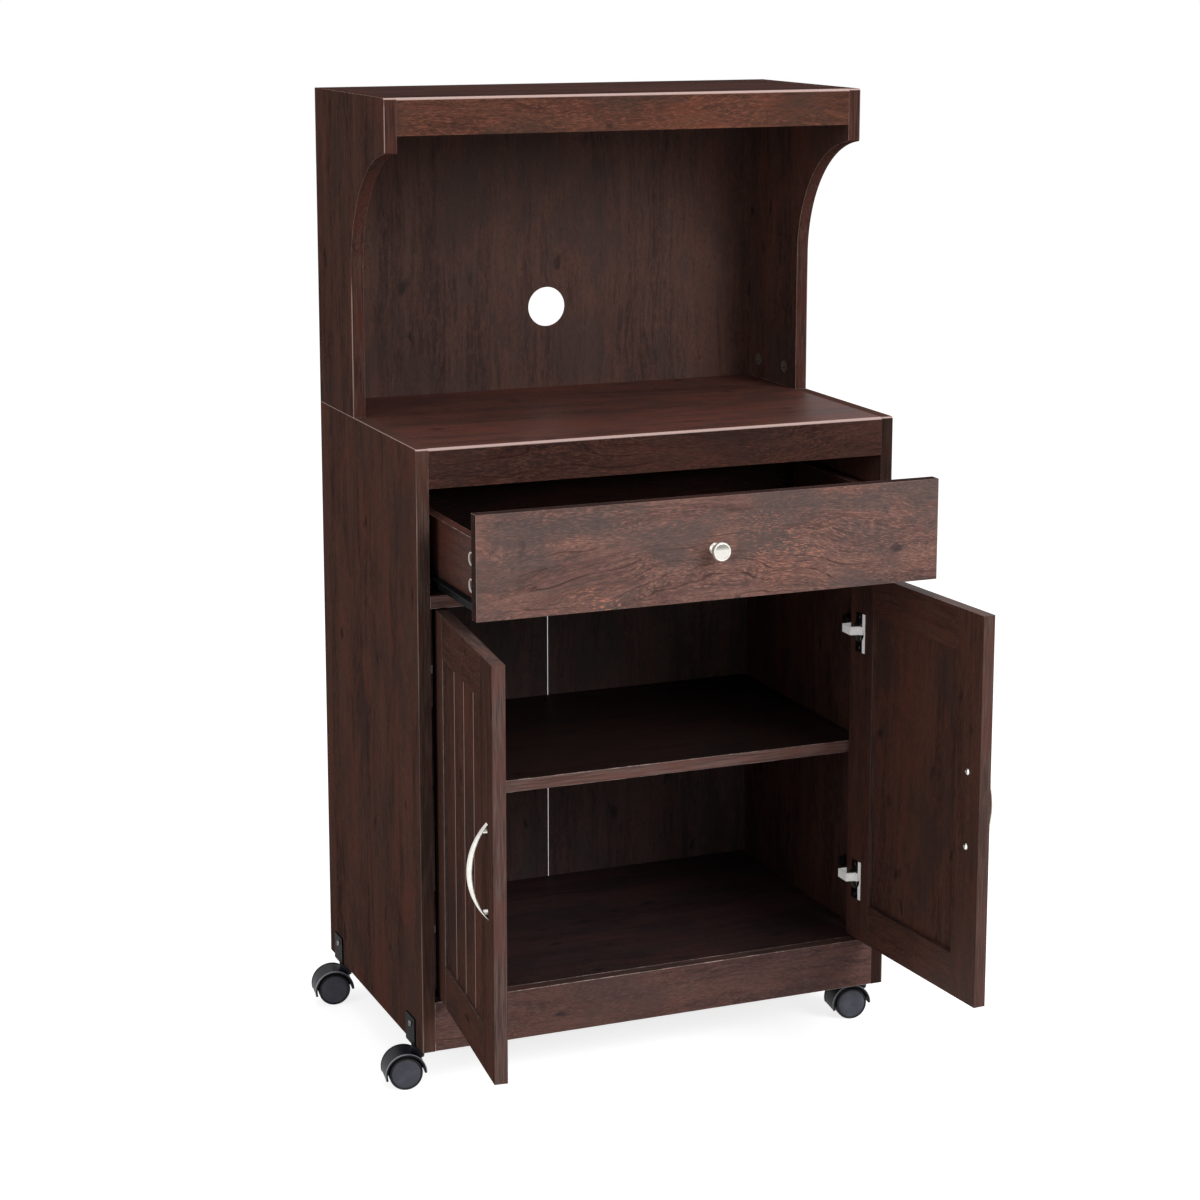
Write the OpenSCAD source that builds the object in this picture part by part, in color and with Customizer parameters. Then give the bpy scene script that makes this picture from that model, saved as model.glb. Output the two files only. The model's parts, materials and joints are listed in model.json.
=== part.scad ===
// Microwave cart: a base with a drawer and two framed doors, an open hutch over a deck, and
// four hooded casters. Modelled with the drawer pulled out and the doors open.
// Cabinet frame: X to the right, Y to the back from the front faces, Z up from the floor.

/* [Base] */
// Outside width of the base and the hutch
cabinet_w = 600; // [500:5:760]
// Thickness of the laminated boards
board_t = 15; // [13:0.5:18]
// Depth of the base's side panels
side_d = 370; // [330:5:450]
// Height of the base's side panels
base_h = 713; // [640:1:820]
// Height of the apron over the drawer
apron_h = 46; // [30:1:70]
// Height of the kick board
kick_h = 60; // [45:1:90]
// Height of the shelf's top over the bottom panel's top
shelf_rise = 247; // [180:1:280]
// Distance from the front faces back to the shelf's front edge
shelf_setback = 32; // [24:1:80]
// Radius of the rounded front edge along the deck and the hutch's top
edge_r = 3; // [1:0.5:6]
// Thickness of the thin back panels
back_t = 3; // [2:0.5:6]
// Distance from the outside in to the edge of a back panel
back_inset = 2; // [1:0.5:5]
// Width of the seam between the two halves of the base's back
seam_w = 1.5; // [0.5:0.5:4]

/* [Hutch] */
// Height of the hutch over the deck
hutch_h = 384; // [320:1:480]
// Distance from the front faces back to the hutch's top and lip
lip_setback = 98; // [60:1:120]
// Distance from the front faces back to the straight front edge of the hutch's legs
leg_setback = 233; // [200:1:260]
// Height of the lip over the curved cut-out
lip_h = 63; // [50:1:90]
// Radius of the curve of the cut-out under the lip
cut_r = 150; // [145:1:200]
// Height of the valance under the hutch's top
valance_h = 43; // [30:1:60]
// Diameter of the cable hole in the hutch's back
cable_hole_d = 50; // [35:1:65]
// Height of the cable hole's centre over the deck
cable_hole_rise = 103; // [60:1:160]

/* [Drawer] */
// Height of the drawer's front
drawer_front_h = 118; // [105:1:140]
// How far the drawer is pulled out as modelled
drawer_out = 147; // [0:1:250]
// Length of the drawer's sides behind its front
box_len = 325; // [240:1:330]
// Height of the drawer's sides
box_h = 80; // [60:1:90]
// Height of the box's lower edge over the lower edge of the drawer's front
box_rise = 5; // [4:1:20]
// Thickness of the drawer's sides and back
box_t = 12; // [10:0.5:15]
// Thickness of the drawer's bottom
box_bottom_t = 3; // [2.5:0.5:5]
// Height of the drawer's bottom over the lower edge of the sides
box_bottom_rise = 8; // [5:1:15]
// Depth of the grooves that hold the drawer's bottom
groove_depth = 6; // [4:0.5:8]

/* [Doors] */
// Width of the stiles of a door
stile_w = 50; // [40:1:65]
// Height of the rails of a door
door_rail_h = 50; // [40:1:65]
// Thickness of the panel of a door
door_panel_t = 6; // [5:0.5:8]
// Depth of the panel's outer face behind the frame's outer face
panel_recess = 3; // [2:0.5:5]
// Depth of the tongues that hold the frame and the panel together
tongue = 8; // [5:0.5:12]
// Boards that the grooves divide the panel into
bead_boards = 4; // [3:1:7]
// Depth of the grooves in the panel
bead_depth = 1.5; // [0.5:0.1:2.5]
// Angle at which the left door stands open as modelled
door_open_left = 96; // [0:1:105]
// Angle at which the right door stands open as modelled
door_open_right = 94.5; // [0:0.5:105]

/* [Hinges] */
// Distance from a door's hinge edge in to the hinge pin
pin_edge = 14; // [13:0.5:15]
// Distance from a door's outer face back to the hinge pin
pin_back = 9; // [8.5:0.1:9.5]
// Diameter of the hinge pins
pin_d = 3; // [2:0.1:3.4]
// Diameter of the hinge cups
cup_d = 26; // [26:0.5:30]
// Distance from a door's hinge edge in to the centre of the cups
cup_edge = 19; // [18.5:0.5:20]
// Depth of the hinge cups in the door
cup_depth = 10.5; // [10:0.1:11]
// Wall thickness of the hinge cups and their flange
cup_wall = 1; // [0.8:0.1:1.2]
// Height of the cup's flange, from screw end to screw end
flange_h = 48; // [44:1:56]
// Width of the cup's flange
flange_w = 19; // [16:0.5:19.5]
// Distance between the two screws of a cup
cup_screw_pitch = 38; // [36:0.5:40]
// Height of the hinge arms
arm_h = 10; // [8:0.5:12]
// Thickness of the hinge arms
arm_t = 2.4; // [2:0.1:2.6]
// Distance from the hinge pin to the arm's crank
crank_r = 13; // [12.5:0.1:13.5]
// Angle at which the arm leaves the pin, off the door's plane
crank_turn = 14; // [10:1:15]
// Clearance between the arm and the swing of the door's hinge edge
crank_gap = 5; // [3:0.5:8]
// Thickness of the mounting plates
plate_t = 2; // [1.5:0.1:3]
// Distance from the end of a door in to the centre of a hinge
hinge_inset = 76; // [60:1:110]
// Distance from the front faces back to the middle of a mounting plate
plate_setback = 56; // [48:1:70]
// Distance between the two screws of a mounting plate
plate_screw_pitch = 32; // [28:0.5:36]
// Length of a mounting plate's foot, front to back
plate_len = 40; // [30:1:44]
// Width of a mounting plate's wings, front to back
plate_wing_w = 14; // [12:1:18]
// Width of the arm's channel on its mounting plate
arm_root_w = 8; // [6:0.5:9]
// Distance between the two adjusting screws of an arm
arm_screw_pitch = 11; // [10:0.5:13]

/* [Handles and knob] */
// Distance between the two screws of a door handle
handle_pitch = 89; // [76:0.5:96]
// Length of a door handle from tip to tip
handle_len = 110; // [100:1:120]
// Reach of a door handle out of the door
handle_reach = 22.5; // [20:0.5:28]
// Thickness of a door handle at the middle of its bow
handle_t = 5; // [4:0.1:6.5]
// Length of the flat end with which each tip of a door handle rests on the door
handle_end = 8.5; // [7:0.5:11]
// Width of a door handle's bow
handle_w = 8; // [6:0.5:12]
// Diameter of the knob's face
knob_d = 21; // [16:0.5:32]
// Reach of the knob out of the drawer's front
knob_reach = 24; // [20:0.5:32]
// Diameter of the screws that hold the handles and the knob
screw_d = 4; // [3:0.1:4.5]

/* [Drawer runners] */
// Distance from the drawer's side to the base's side panel
runner_space = 12.5; // [12.5:0.1:14]
// Thickness of the runners' sheet metal
runner_t = 1.2; // [1:0.1:1.4]
// Diameter of the runners' rollers
roller_d = 11; // [9:0.5:12]
// Width of the runners' rollers
roller_w = 6; // [5:0.1:6.2]
// Diameter of the rollers' pins
roller_pin_d = 3; // [2:0.1:4]
// Length of the runners on the base's side panels
runner_len = 345; // [300:1:350]
// Distance from the back of the closed drawer's front to the runners' front ends
runner_setback = 2; // [1:0.5:4]
// Distance from a runner's end in to the edge of its roller
roller_inset = 2; // [1:0.5:6]

/* [Casters] */
// Diameter of the wheels
wheel_d = 40; // [32:1:42]
// Height from the floor to the top of a caster's collar
caster_h = 53; // [52:1:70]
// Outside diameter of a caster's hood
hood_d = 50; // [49:1:56]
// Thickness of a caster's hood
hood_t = 3; // [2:0.5:3.5]
// Width of a caster's hood
caster_w = 35; // [32:1:40]
// Distance from a caster's stem to its axle
trail = 17; // [16:0.5:22]
// Diameter of a caster's stem
stem_d = 8; // [6:0.5:9]
// Length of a caster's stem over its collar
stem_len = 17; // [12:1:18]
// Diameter of a caster's axle
axle_d = 5; // [4:0.5:8]
// Distance from the front faces back to the front stems
stem_front = 42; // [35:1:80]
// Distance from the back edge of the sides forward to the back stems
stem_back = 39; // [35:1:80]
// Angle by which the casters are turned from trailing straight to the left
caster_turn = 8; // [-30:1:30]
// Thickness of the angle brackets over the casters
bracket_t = 2; // [1:0.5:3]
// Width of an angle bracket along the side panel
bracket_w = 32; // [26:1:40]
// Height of an angle bracket up the side panel
bracket_h = 32; // [32:1:45]
// Distance from the top of an angle bracket down to its screw
bracket_screw_drop = 10; // [7:0.5:11]
// Depth of a bracket's screw in the side panel
bracket_grip = 11; // [6:0.5:12]

/* [Fasteners] */
// Diameter of the round connecting cams
cam_d = 15; // [12:0.5:16]
// Depth of the cams in a board
cam_depth = 11; // [8:0.5:12]
// Distance from a board's edge to the centre of its cams
cam_inset = 24; // [20:0.5:34]
// Distance from the front edge of the hutch's legs back to the front cams
cam_front = 33; // [20:1:45]
// Distance from the back edge of the sides forward to the back cams
cam_back = 28; // [20:1:40]
// Distance from the drawer's front back to the cams of its sides
drawer_cam_back = 28; // [24:1:60]
// Distance between the two cams of a drawer's side
drawer_cam_pitch = 30; // [24:1:36]
// Distance from the shelf's front edge back to the front shelf pins
pin_from_front = 30; // [15:1:60]
// Distance from the back edge of the sides forward to the back shelf pins
pin_from_back = 50; // [15:1:70]
// Diameter of the connecting bolts
bolt_d = 5; // [4:0.5:7]
// Diameter of the shelf pins
shelf_pin_d = 5; // [4:0.5:6]
// Reach of a shelf pin on either side of the board's face
shelf_pin_reach = 9; // [6:0.5:11]

/* [Clearances] */
// Gap beside the doors and between them
door_side_gap = 3.5; // [3.5:0.1:5]
// Gap over and under the doors and the drawer's front
front_gap = 2.5; // [1.5:0.1:4]
// Gap between the two doors
door_mid_gap = 3; // [2:0.1:5]
// Gap beside the drawer's front
drawer_side_gap = 3; // [2:0.1:5]
// Gap beside the loose shelf
shelf_gap = 1; // [0.5:0.1:2]
// Gap between the lips of a runner's channel and the web of the drawer's angle
lip_gap = 1.8; // [1:0.1:2]
// Gap between the rider of the drawer's angle and the web of the channel
rider_gap = 2.3; // [1:0.1:3]
// Gap round a board that sits in a groove
groove_gap = 0.2; // [0.1:0.05:0.4]
// Gap round a fastener or a cup in its hole
hole_gap = 0.15; // [0.1:0.05:0.3]
// Running clearance of a pin, axle or stem in its bore, on the radius
run_gap = 0.05; // [0.02:0.01:0.1]
// Gap between a moving piece and the piece it runs on
slide_gap = 0.3; // [0.2:0.05:0.6]

/* [Hidden] */
$fn = 64;
eps = 0.01;

// Levels over the floor
side_z = caster_h + bracket_t;
deck_z = side_z + base_h;
hutch_z = deck_z + hutch_h;
bottom_z = side_z + kick_h;
apron_z = deck_z - apron_h;
rail_top = apron_z - drawer_front_h - 2 * front_gap;
rail_z = rail_top - board_t;
shelf_z = bottom_z + shelf_rise;

// Lines across and along
half_w = cabinet_w / 2;
inner_x = half_w - board_t;
depth_total = side_d + back_t;

// Doors, in the frame of the hinge pin: u along the door, v back from the pin
door_w = (2 * inner_x - 2 * door_side_gap - door_mid_gap) / 2;
door_h = rail_z - bottom_z - 2 * front_gap;
door_z = bottom_z + front_gap;
pin_x = inner_x - door_side_gap - pin_edge;
door_u0 = -pin_edge;
door_u1 = door_w - pin_edge;
door_v0 = -pin_back;
door_v1 = board_t - pin_back;
panel_v0 = door_v0 + panel_recess;
hinge_levels = [door_z + hinge_inset, door_z + door_h - hinge_inset];

// Hinges
cup_u = cup_edge - pin_edge;
cup_bore_d = cup_d + 2 * hole_gap;
elbow = [crank_r * cos(crank_turn), crank_r * sin(crank_turn)];
swing_r = max(norm([door_u0, door_v0]), norm([door_u0, door_v1]));
arm_turn_v = swing_r + crank_gap + arm_t / 2;
knuckle_d = pin_d + 3;
hinge_screw_d = 6;
hinge_screw_t = 1.5;

// Handles
handle_u = door_u1 - stile_w / 2;
handle_z = door_z + door_h / 2;
screw_head_d = 2 * screw_d;
screw_head_t = 0.6 * screw_d;
screw_grip = 8;
screw_bore_d = screw_d + 2 * hole_gap;
handle_grip = 5;
handle_foot_d = 7;

// Drawer
front_z = rail_top + front_gap;
front_half_w = inner_x - drawer_side_gap;
box_x = inner_x - runner_space;
box_z = front_z + box_rise;
box_floor_z = box_z + box_bottom_rise;
knob_z = front_z + drawer_front_h / 2;

// Runners
runner_y = board_t + runner_setback;
roller_r = roller_d / 2;
roller_z = box_z + slide_gap + roller_r;
rider_z = box_z + roller_d + 2 * slide_gap;
channel_top = rider_z + runner_t + 1;
cabinet_roller_y = runner_y + roller_r + roller_inset;
drawer_roller_y = board_t + box_len - roller_r - roller_inset;
web_x = inner_x - runner_t;
drawer_web_x = box_x + runner_t;
roller_bore_d = roller_pin_d + 2 * run_gap;
roller_end_gap = 0.5;

// Casters
axle_z = wheel_d / 2;
stem_ys = [stem_front, side_d - stem_back];
stem_x = half_w - board_t / 2;
hood_gap = (hood_d / 2 - hood_t) - wheel_d / 2;
web_t = 6;
wheel_w = (caster_w - web_t) / 2 - 2 * slide_gap - 0.5;
collar_d = stem_d + 8;
bracket_screw_z = side_z + bracket_h - bracket_screw_drop;

// Cams
cam_bore_d = cam_d + 2 * hole_gap;
cam_ys = [leg_setback + cam_front, side_d - cam_back];

// The origin stands under the middle of the part as modelled: between the left casters' hoods
// and the right door's handle, and between the left door and the back
left_reach = stem_x + (trail + hood_d / 2) * cos(caster_turn)
    + caster_w / 2 * abs(sin(caster_turn));
right_reach = pin_x + (pin_back + handle_reach) * sin(door_open_right)
    - (handle_u + handle_w / 8) * cos(door_open_right);
door_reach = sin(door_open_left) * door_u1 - pin_back;
middle_x = (left_reach - right_reach) / 2;
front_y = (door_reach - depth_total) / 2;

// Colours
WOOD = "#3b2420";
WOOD_RED = "#54302a";
INSIDE = "#241614";
NICKEL = "#c9c5be";
BLACK = "#1d1d20";
DISC = "#3a3a42";
CREAM = "#e4dccb";
ZINC = "#9a9a9c";

// ---------------------------------------------------------------- helpers

// The cabinet frame, set over the origin.
module cabinet() translate([middle_x, front_y, 0]) children();

// The cabinet frame for one side: built for the left (-1) and mirrored for the right (1).
module on_side(side) cabinet() mirror([side > 0 ? 1 : 0, 0, 0]) children();

// A box between two corners.
module block(a, b) translate(a) cube(b - a);

// A profile in Y and Z, extruded along X from x0 to x1.
module along_x(x0, x1) translate([x0, 0, 0]) rotate([90, 0, 90]) linear_extrude(x1 - x0) children();

// A round bar along X, Y or Z, from a point and over a length.
module bar_x(p, d, l) translate(p) rotate([0, 90, 0]) cylinder(d = d, h = l);
module bar_y(p, d, l) translate(p) rotate([-90, 0, 0]) cylinder(d = d, h = l);
module bar_z(p, d, l) translate(p) cylinder(d = d, h = l);

// What a rounded convex corner cuts away; the corner is at p and the board lies at +y, -z of it.
module corner_cut(p) translate([p[0], p[1] - edge_r]) difference() {
    translate([-1, 0]) square([edge_r + 1, edge_r + 1]);
    translate([edge_r, 0]) circle(edge_r);
}

// ---------------------------------------------------------------- base

module side_panel(side) color(WOOD) on_side(side) difference() {
    along_x(-half_w, -inner_x) difference() {
        translate([0, side_z]) square([side_d, base_h]);
        corner_cut([0, deck_z]);
    }
    for (y = stem_ys) {
        bar_z([-stem_x, y, side_z - 1], stem_d + 2 * run_gap, stem_len + 2);
        bar_x([-half_w - 1, y, bracket_screw_z], screw_bore_d, bracket_grip + 1.5);
    }
    for (y = shelf_pin_ys())
        bar_x([-inner_x - shelf_pin_reach - 0.5, y, shelf_pin_z()], shelf_pin_d + 2 * hole_gap,
              shelf_pin_reach + 1);
    for (y = cam_ys)
        bar_z([-stem_x, y, deck_z - cam_inset / 2], bolt_d + 2 * hole_gap, cam_inset);
}

// The deck and the apron are one folded board: they meet in a mitre inside the rounded edge.
module fold_outline(y0, y1, top_z) difference() {
    translate([y0, top_z - board_t]) square([y1 - y0, board_t]);
    polygon([[y0, top_z], [y0 + board_t, top_z - board_t], [y0 - 1, top_z - board_t],
             [y0 - 1, top_z]]);
    corner_cut([y0, top_z]);
}

module fold_down(y0, top_z, h) difference() {
    translate([y0, top_z - h]) square([board_t, h]);
    polygon([[y0, top_z], [y0 + board_t, top_z - board_t], [y0 + board_t + 1, top_z - board_t],
             [y0 + board_t + 1, top_z + 1], [y0, top_z + 1]]);
    corner_cut([y0, top_z]);
}

module deck_panel() color(WOOD) cabinet() along_x(-inner_x, inner_x)
    fold_outline(0, side_d, deck_z);

module deck_apron() color(WOOD_RED) cabinet() along_x(-inner_x, inner_x)
    fold_down(0, deck_z, apron_h);

module drawer_rail() color(WOOD_RED) cabinet()
    block([-inner_x, 0, rail_z], [inner_x, rail_depth(), rail_top]);

function rail_depth() = 4 * board_t;

module shelf() color(WOOD) cabinet()
    block([-inner_x + shelf_gap, shelf_setback, shelf_z - board_t],
          [inner_x - shelf_gap, side_d, shelf_z]);

module bottom_panel() color(WOOD) cabinet()
    block([-inner_x, board_t, bottom_z - board_t], [inner_x, side_d, bottom_z]);

module kick_board() color(WOOD_RED) cabinet()
    block([-inner_x, 0, side_z], [inner_x, board_t, bottom_z]);

module base_back(side) color(INSIDE) on_side(side)
    block([-half_w + back_inset, side_d, side_z + back_inset],
          [-seam_w / 2, depth_total, deck_z - back_inset]);

// ---------------------------------------------------------------- hutch

module hutch_side(side) color(WOOD) on_side(side) difference() {
    along_x(-half_w, -inner_x) difference() {
        translate([lip_setback, deck_z]) square([side_d - lip_setback, hutch_h]);
        corner_cut([lip_setback, hutch_z]);
        mirror([0, 1]) corner_cut([lip_setback, -arc_z - arc_rise(edge_r)]);
        hutch_cut_out();
    }
    for (y = cam_ys) {
        bar_x([-inner_x - cam_depth, y, deck_z + cam_inset], cam_bore_d, cam_depth + 1);
        bar_z([-stem_x, y, deck_z - 1], bolt_d + 2 * hole_gap, cam_inset + 1);
    }
}

// The height over the curve's centre at a distance behind the lip's front.
function arc_rise(back) = sqrt(pow(cut_r, 2) - pow(cut_r - leg_setback + lip_setback + back, 2));

arc_z = hutch_z - lip_h - arc_rise(0);

// The cut-out under the lip: an arc that runs straight down to the deck.
module hutch_cut_out() {
    span = leg_setback - lip_setback;
    translate([leg_setback - cut_r, arc_z]) intersection() {
        circle(cut_r, $fn = 128);
        translate([cut_r - span - 1, 0]) square([span + 1, cut_r]);
    }
    translate([lip_setback - 1, deck_z - 1]) square([span + 1, arc_z - deck_z + 1 + eps]);
}

module hutch_top() color(WOOD) cabinet() along_x(-inner_x, inner_x)
    fold_outline(lip_setback, side_d, hutch_z);

module hutch_valance() color(WOOD_RED) cabinet() along_x(-inner_x, inner_x)
    fold_down(lip_setback, hutch_z, valance_h);

module hutch_back() color(WOOD) cabinet() difference() {
    block([-half_w + back_inset, side_d, deck_z - back_inset],
          [half_w - back_inset, depth_total, hutch_z - back_inset]);
    bar_y([0, side_d - 1, deck_z + cable_hole_rise], cable_hole_d, back_t + 2);
}

// ---------------------------------------------------------------- fasteners

// A cam with a cross slot in its face, which points along +X at x = 0.
module cam() difference() {
    bar_x([-cam_depth, 0, 0], cam_d, cam_depth);
    for (turn = [45, 135]) rotate([turn, 0, 0])
        translate([-1.5, -cam_d / 4, -0.6]) cube([2, cam_d / 2, 1.2]);
    bar_x([-board_t, 0, 0], 0.4 * cam_d, board_t - 2);
}

module cam_locks() color(ZINC) for (side = [-1, 1]) on_side(side) for (y = cam_ys) {
    translate([-inner_x, y, deck_z + cam_inset]) cam();
    bar_z([-stem_x, y, deck_z - cam_inset / 2 + 0.5], bolt_d, 1.5 * cam_inset - cam_d / 2 - 0.5);
}

function shelf_pin_ys() = [shelf_setback + pin_from_front, side_d - pin_from_back];
function shelf_pin_z() = shelf_z - board_t - shelf_pin_d / 2;

module shelf_pins() color(NICKEL) for (side = [-1, 1]) on_side(side) for (y = shelf_pin_ys()) {
    bar_x([-inner_x - shelf_pin_reach, y, shelf_pin_z()], shelf_pin_d, 2 * shelf_pin_reach);
    bar_x([-inner_x, y, shelf_pin_z()], shelf_pin_d + 2, 1);
}

// ---------------------------------------------------------------- casters

// A black angle bracket over each caster, with its screw.
module caster_brackets() color(BLACK) for (side = [-1, 1]) on_side(side) for (y = stem_ys) {
    difference() {
        union() {
            block([-half_w - bracket_t, y - bracket_w / 2, caster_h],
                  [-half_w, y + bracket_w / 2, side_z + bracket_h]);
            block([-half_w - eps, y - bracket_w / 2, caster_h],
                  [-inner_x, y + bracket_w / 2, side_z]);
        }
        bar_z([-stem_x, y, caster_h - 1], stem_d + 2 * slide_gap, bracket_t + 2);
        bar_x([-half_w - bracket_t - 1, y, bracket_screw_z], screw_bore_d, bracket_t + 2);
    }
    translate([-half_w - bracket_t, y, bracket_screw_z]) rotate([0, 0, 90])
        face_screw(bracket_t + bracket_grip);
}

// Places a caster: its stem's axis at x = y = 0, with the axle trailing along -X.
module at_caster(side, row) cabinet()
    translate([side * stem_x, stem_ys[row], 0]) rotate(-caster_turn) children();

// The hood, its web between the wheels and the housing of the stem.
module caster_hood(side, row) color(BLACK) at_caster(side, row) {
    difference() {
        union() {
            translate([-trail, 0, axle_z]) rotate([90, 0, 0])
                translate([0, 0, -caster_w / 2]) linear_extrude(caster_w) hood_arch();
            translate([-trail, 0, axle_z]) rotate([90, 0, 0])
                translate([0, 0, -web_t / 2]) linear_extrude(web_t) caster_web();
            intersection() {
                bar_z([0, 0, axle_z - 2], collar_d, caster_h - axle_z + 2 - slide_gap);
                translate([-trail, 0, 0]) difference() {
                    block([0, -collar_d, 0], [trail + collar_d, collar_d, caster_h]);
                    bar_y([0, -collar_d, axle_z], wheel_d + 2 * hood_gap, 2 * collar_d);
                }
            }
        }
        bar_y([-trail, -caster_w, axle_z], axle_d + 2 * run_gap, 2 * caster_w);
    }
    bar_z([0, 0, caster_h - slide_gap - eps], stem_d, stem_len + slide_gap + eps);
}

// The arched band of the hood: it ends at the axle's level in front and lower behind the wheels.
module hood_arch() difference() {
    circle(d = hood_d);
    circle(d = hood_d - 2 * hood_t);
    translate([-hood_d, -hood_d]) square([2 * hood_d, hood_d - 0.14 * hood_d]);
    translate([0, -hood_d]) square([hood_d, hood_d]);
}

module caster_web() difference() {
    circle(d = hood_d - hood_t);
    rotate(-25) translate([-hood_d, -hood_d]) square([2 * hood_d, hood_d - 0.16 * hood_d]);
}

// Two wheels on their axle.
module caster_wheels(side, row) color(DISC) at_caster(side, row)
    translate([-trail, 0, axle_z]) rotate([90, 0, 0]) {
        rotate_extrude($fn = 96) for (s = [-1, 1]) scale([1, s]) wheel_section();
        translate([0, 0, -web_t]) cylinder(d = axle_d, h = 2 * web_t);
    }

// Half a wheel's section: a shallow dished face outside and a rounded tread.
module wheel_section() {
    inner = web_t / 2 + slide_gap;
    outer = inner + wheel_w;
    r = wheel_d / 2;
    polygon([[0, inner], [r - 1, inner], [r, inner + 1], [r, outer - 2], [r - 0.6, outer - 0.6],
             [r - 2, outer], [r - 3.5, outer - 0.6], [r - 12, outer - 0.2], [0, outer]]);
}

// ---------------------------------------------------------------- drawer

// The drawer's frame: Y from the outer face of its front.
module in_drawer() cabinet() translate([0, -drawer_out, 0]) children();
module drawer_on_side(side) in_drawer() mirror([side > 0 ? 1 : 0, 0, 0]) children();

bottom_x = box_x - box_t + groove_depth - groove_gap;

module bottom_groove() block(
    [-bottom_x - groove_gap, board_t - groove_depth, box_floor_z - groove_gap],
    [bottom_x + groove_gap, board_t + box_len + 1, box_floor_z + box_bottom_t + groove_gap]);

module drawer_front() color(WOOD_RED) in_drawer() difference() {
    block([-front_half_w, 0, front_z], [front_half_w, board_t, front_z + drawer_front_h]);
    bottom_groove();
    bar_y([0, -1, knob_z], screw_bore_d, board_t + 2);
}

drawer_cam_levels = [for (i = [0, 1]) box_z + box_h - cam_inset - i * drawer_cam_pitch];
drawer_cam_y = board_t + drawer_cam_back;

module drawer_side(side) color(WOOD) drawer_on_side(side) difference() {
    block([-box_x, board_t, box_z], [-box_x + box_t, board_t + box_len, box_z + box_h]);
    bottom_groove();
    for (z = drawer_cam_levels)
        bar_x([-box_x - 1, drawer_cam_y, z], cam_bore_d, cam_depth / 2 + 1);
}

module drawer_back() color(WOOD) in_drawer() block(
    [-box_x + box_t, board_t + box_len - box_t, box_floor_z + box_bottom_t + groove_gap],
    [box_x - box_t, board_t + box_len, box_z + box_h]);

module drawer_bottom() color(INSIDE) in_drawer() block(
    [-bottom_x, board_t - groove_depth + groove_gap, box_floor_z],
    [bottom_x, board_t + box_len, box_floor_z + box_bottom_t]);

// The light covers over the cams of the drawer's sides.
module drawer_cams() color(CREAM) for (side = [-1, 1]) drawer_on_side(side)
    for (z = drawer_cam_levels) bar_x([-box_x - 0.5, drawer_cam_y, z], cam_d, cam_depth / 2 + 0.3);

module drawer_knob() color(NICKEL) in_drawer()
    translate([0, 0, knob_z]) rotate([90, 0, 0]) difference() {
        rotate_extrude($fn = 96) knob_section();
        translate([0, 0, -1]) cylinder(d = screw_bore_d, h = 1 + 1.5 * screw_grip);
    }

// The knob's section: a foot ring, a waisted neck and a thick face with a rounded rim.
module knob_section() {
    r = knob_d / 2;
    rim = 0.14 * knob_d;
    difference() {
        union() {
            square([0.38 * knob_d, 0.1 * knob_reach]);
            square([0.27 * knob_d, knob_reach - rim]);
            translate([0, knob_reach - 2 * rim]) square([r - rim, 2 * rim]);
            translate([r - rim, knob_reach - rim]) circle(rim);
        }
        translate([0.27 * knob_d + 0.3 * knob_reach, 0.4 * knob_reach]) circle(0.33 * knob_reach);
        translate([-knob_d, 0]) square([knob_d, 2 * knob_reach]);
    }
}

// A screw along -Y from the plane y = 0, its head behind the plane.
module face_screw(shank) {
    bar_y([0, -shank, 0], screw_d, shank + eps);
    rotate([-90, 0, 0]) difference() {
        rotate_extrude() intersection() {
            translate([0, screw_head_t - 1.25 * screw_d]) circle(1.25 * screw_d);
            square([screw_head_d / 2, screw_head_t]);
        }
        for (turn = [0, 90]) rotate(turn) translate([-screw_d / 2, -0.4, screw_head_t - 1])
            cube([screw_d, 0.8, 2]);
    }
}

module knob_screw() color(ZINC) in_drawer()
    translate([0, board_t, knob_z]) face_screw(board_t + screw_grip);

// ---------------------------------------------------------------- runners

// The channel on the base's side panel, open to the drawer, with the pin of its front roller.
module cabinet_runner(side) color(BLACK) on_side(side) {
    runner_y1 = runner_y + runner_len;
    block([-inner_x, runner_y, box_z - runner_t], [-web_x, runner_y1, channel_top + runner_t]);
    for (z = [box_z - runner_t, channel_top])
        block([-web_x - eps, runner_y, z], [-drawer_web_x - lip_gap, runner_y1, z + runner_t]);
    bar_x([-web_x - eps, cabinet_roller_y, roller_z], roller_pin_d, roller_w + 2 * roller_end_gap);
}

// The angle under the drawer's side, with the rider that runs over the front roller.
module drawer_runner(side) color(BLACK) drawer_on_side(side) {
    y0 = board_t;
    y1 = board_t + box_len;
    block([-drawer_web_x, y0, box_z - runner_t], [-box_x, y1, rider_z + runner_t]);
    block([-box_x - eps, y0, box_z - runner_t], [-box_x + box_t, y1, box_z]);
    block([-web_x + rider_gap, y0, rider_z], [-drawer_web_x + eps, y1, rider_z + runner_t]);
    translate([-drawer_web_x + eps, drawer_roller_y, roller_z]) rotate([0, -90, 0])
        cylinder(d = roller_pin_d, h = roller_w + 2 * roller_end_gap);
}

module roller(x0) difference() {
    translate([x0, 0, 0]) rotate([0, 90, 0]) cylinder(d = roller_d, h = roller_w);
    translate([x0 - 1, 0, 0]) rotate([0, 90, 0]) cylinder(d = roller_bore_d, h = roller_w + 2);
}

module cabinet_roller(side) color(DISC) on_side(side)
    translate([0, cabinet_roller_y, roller_z]) roller(-web_x + roller_end_gap);

module drawer_roller(side) color(DISC) drawer_on_side(side)
    translate([0, drawer_roller_y, roller_z]) roller(-drawer_web_x - roller_end_gap - roller_w);

// ---------------------------------------------------------------- doors

function open_angle(side) = side < 0 ? -door_open_left : door_open_right;

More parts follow.
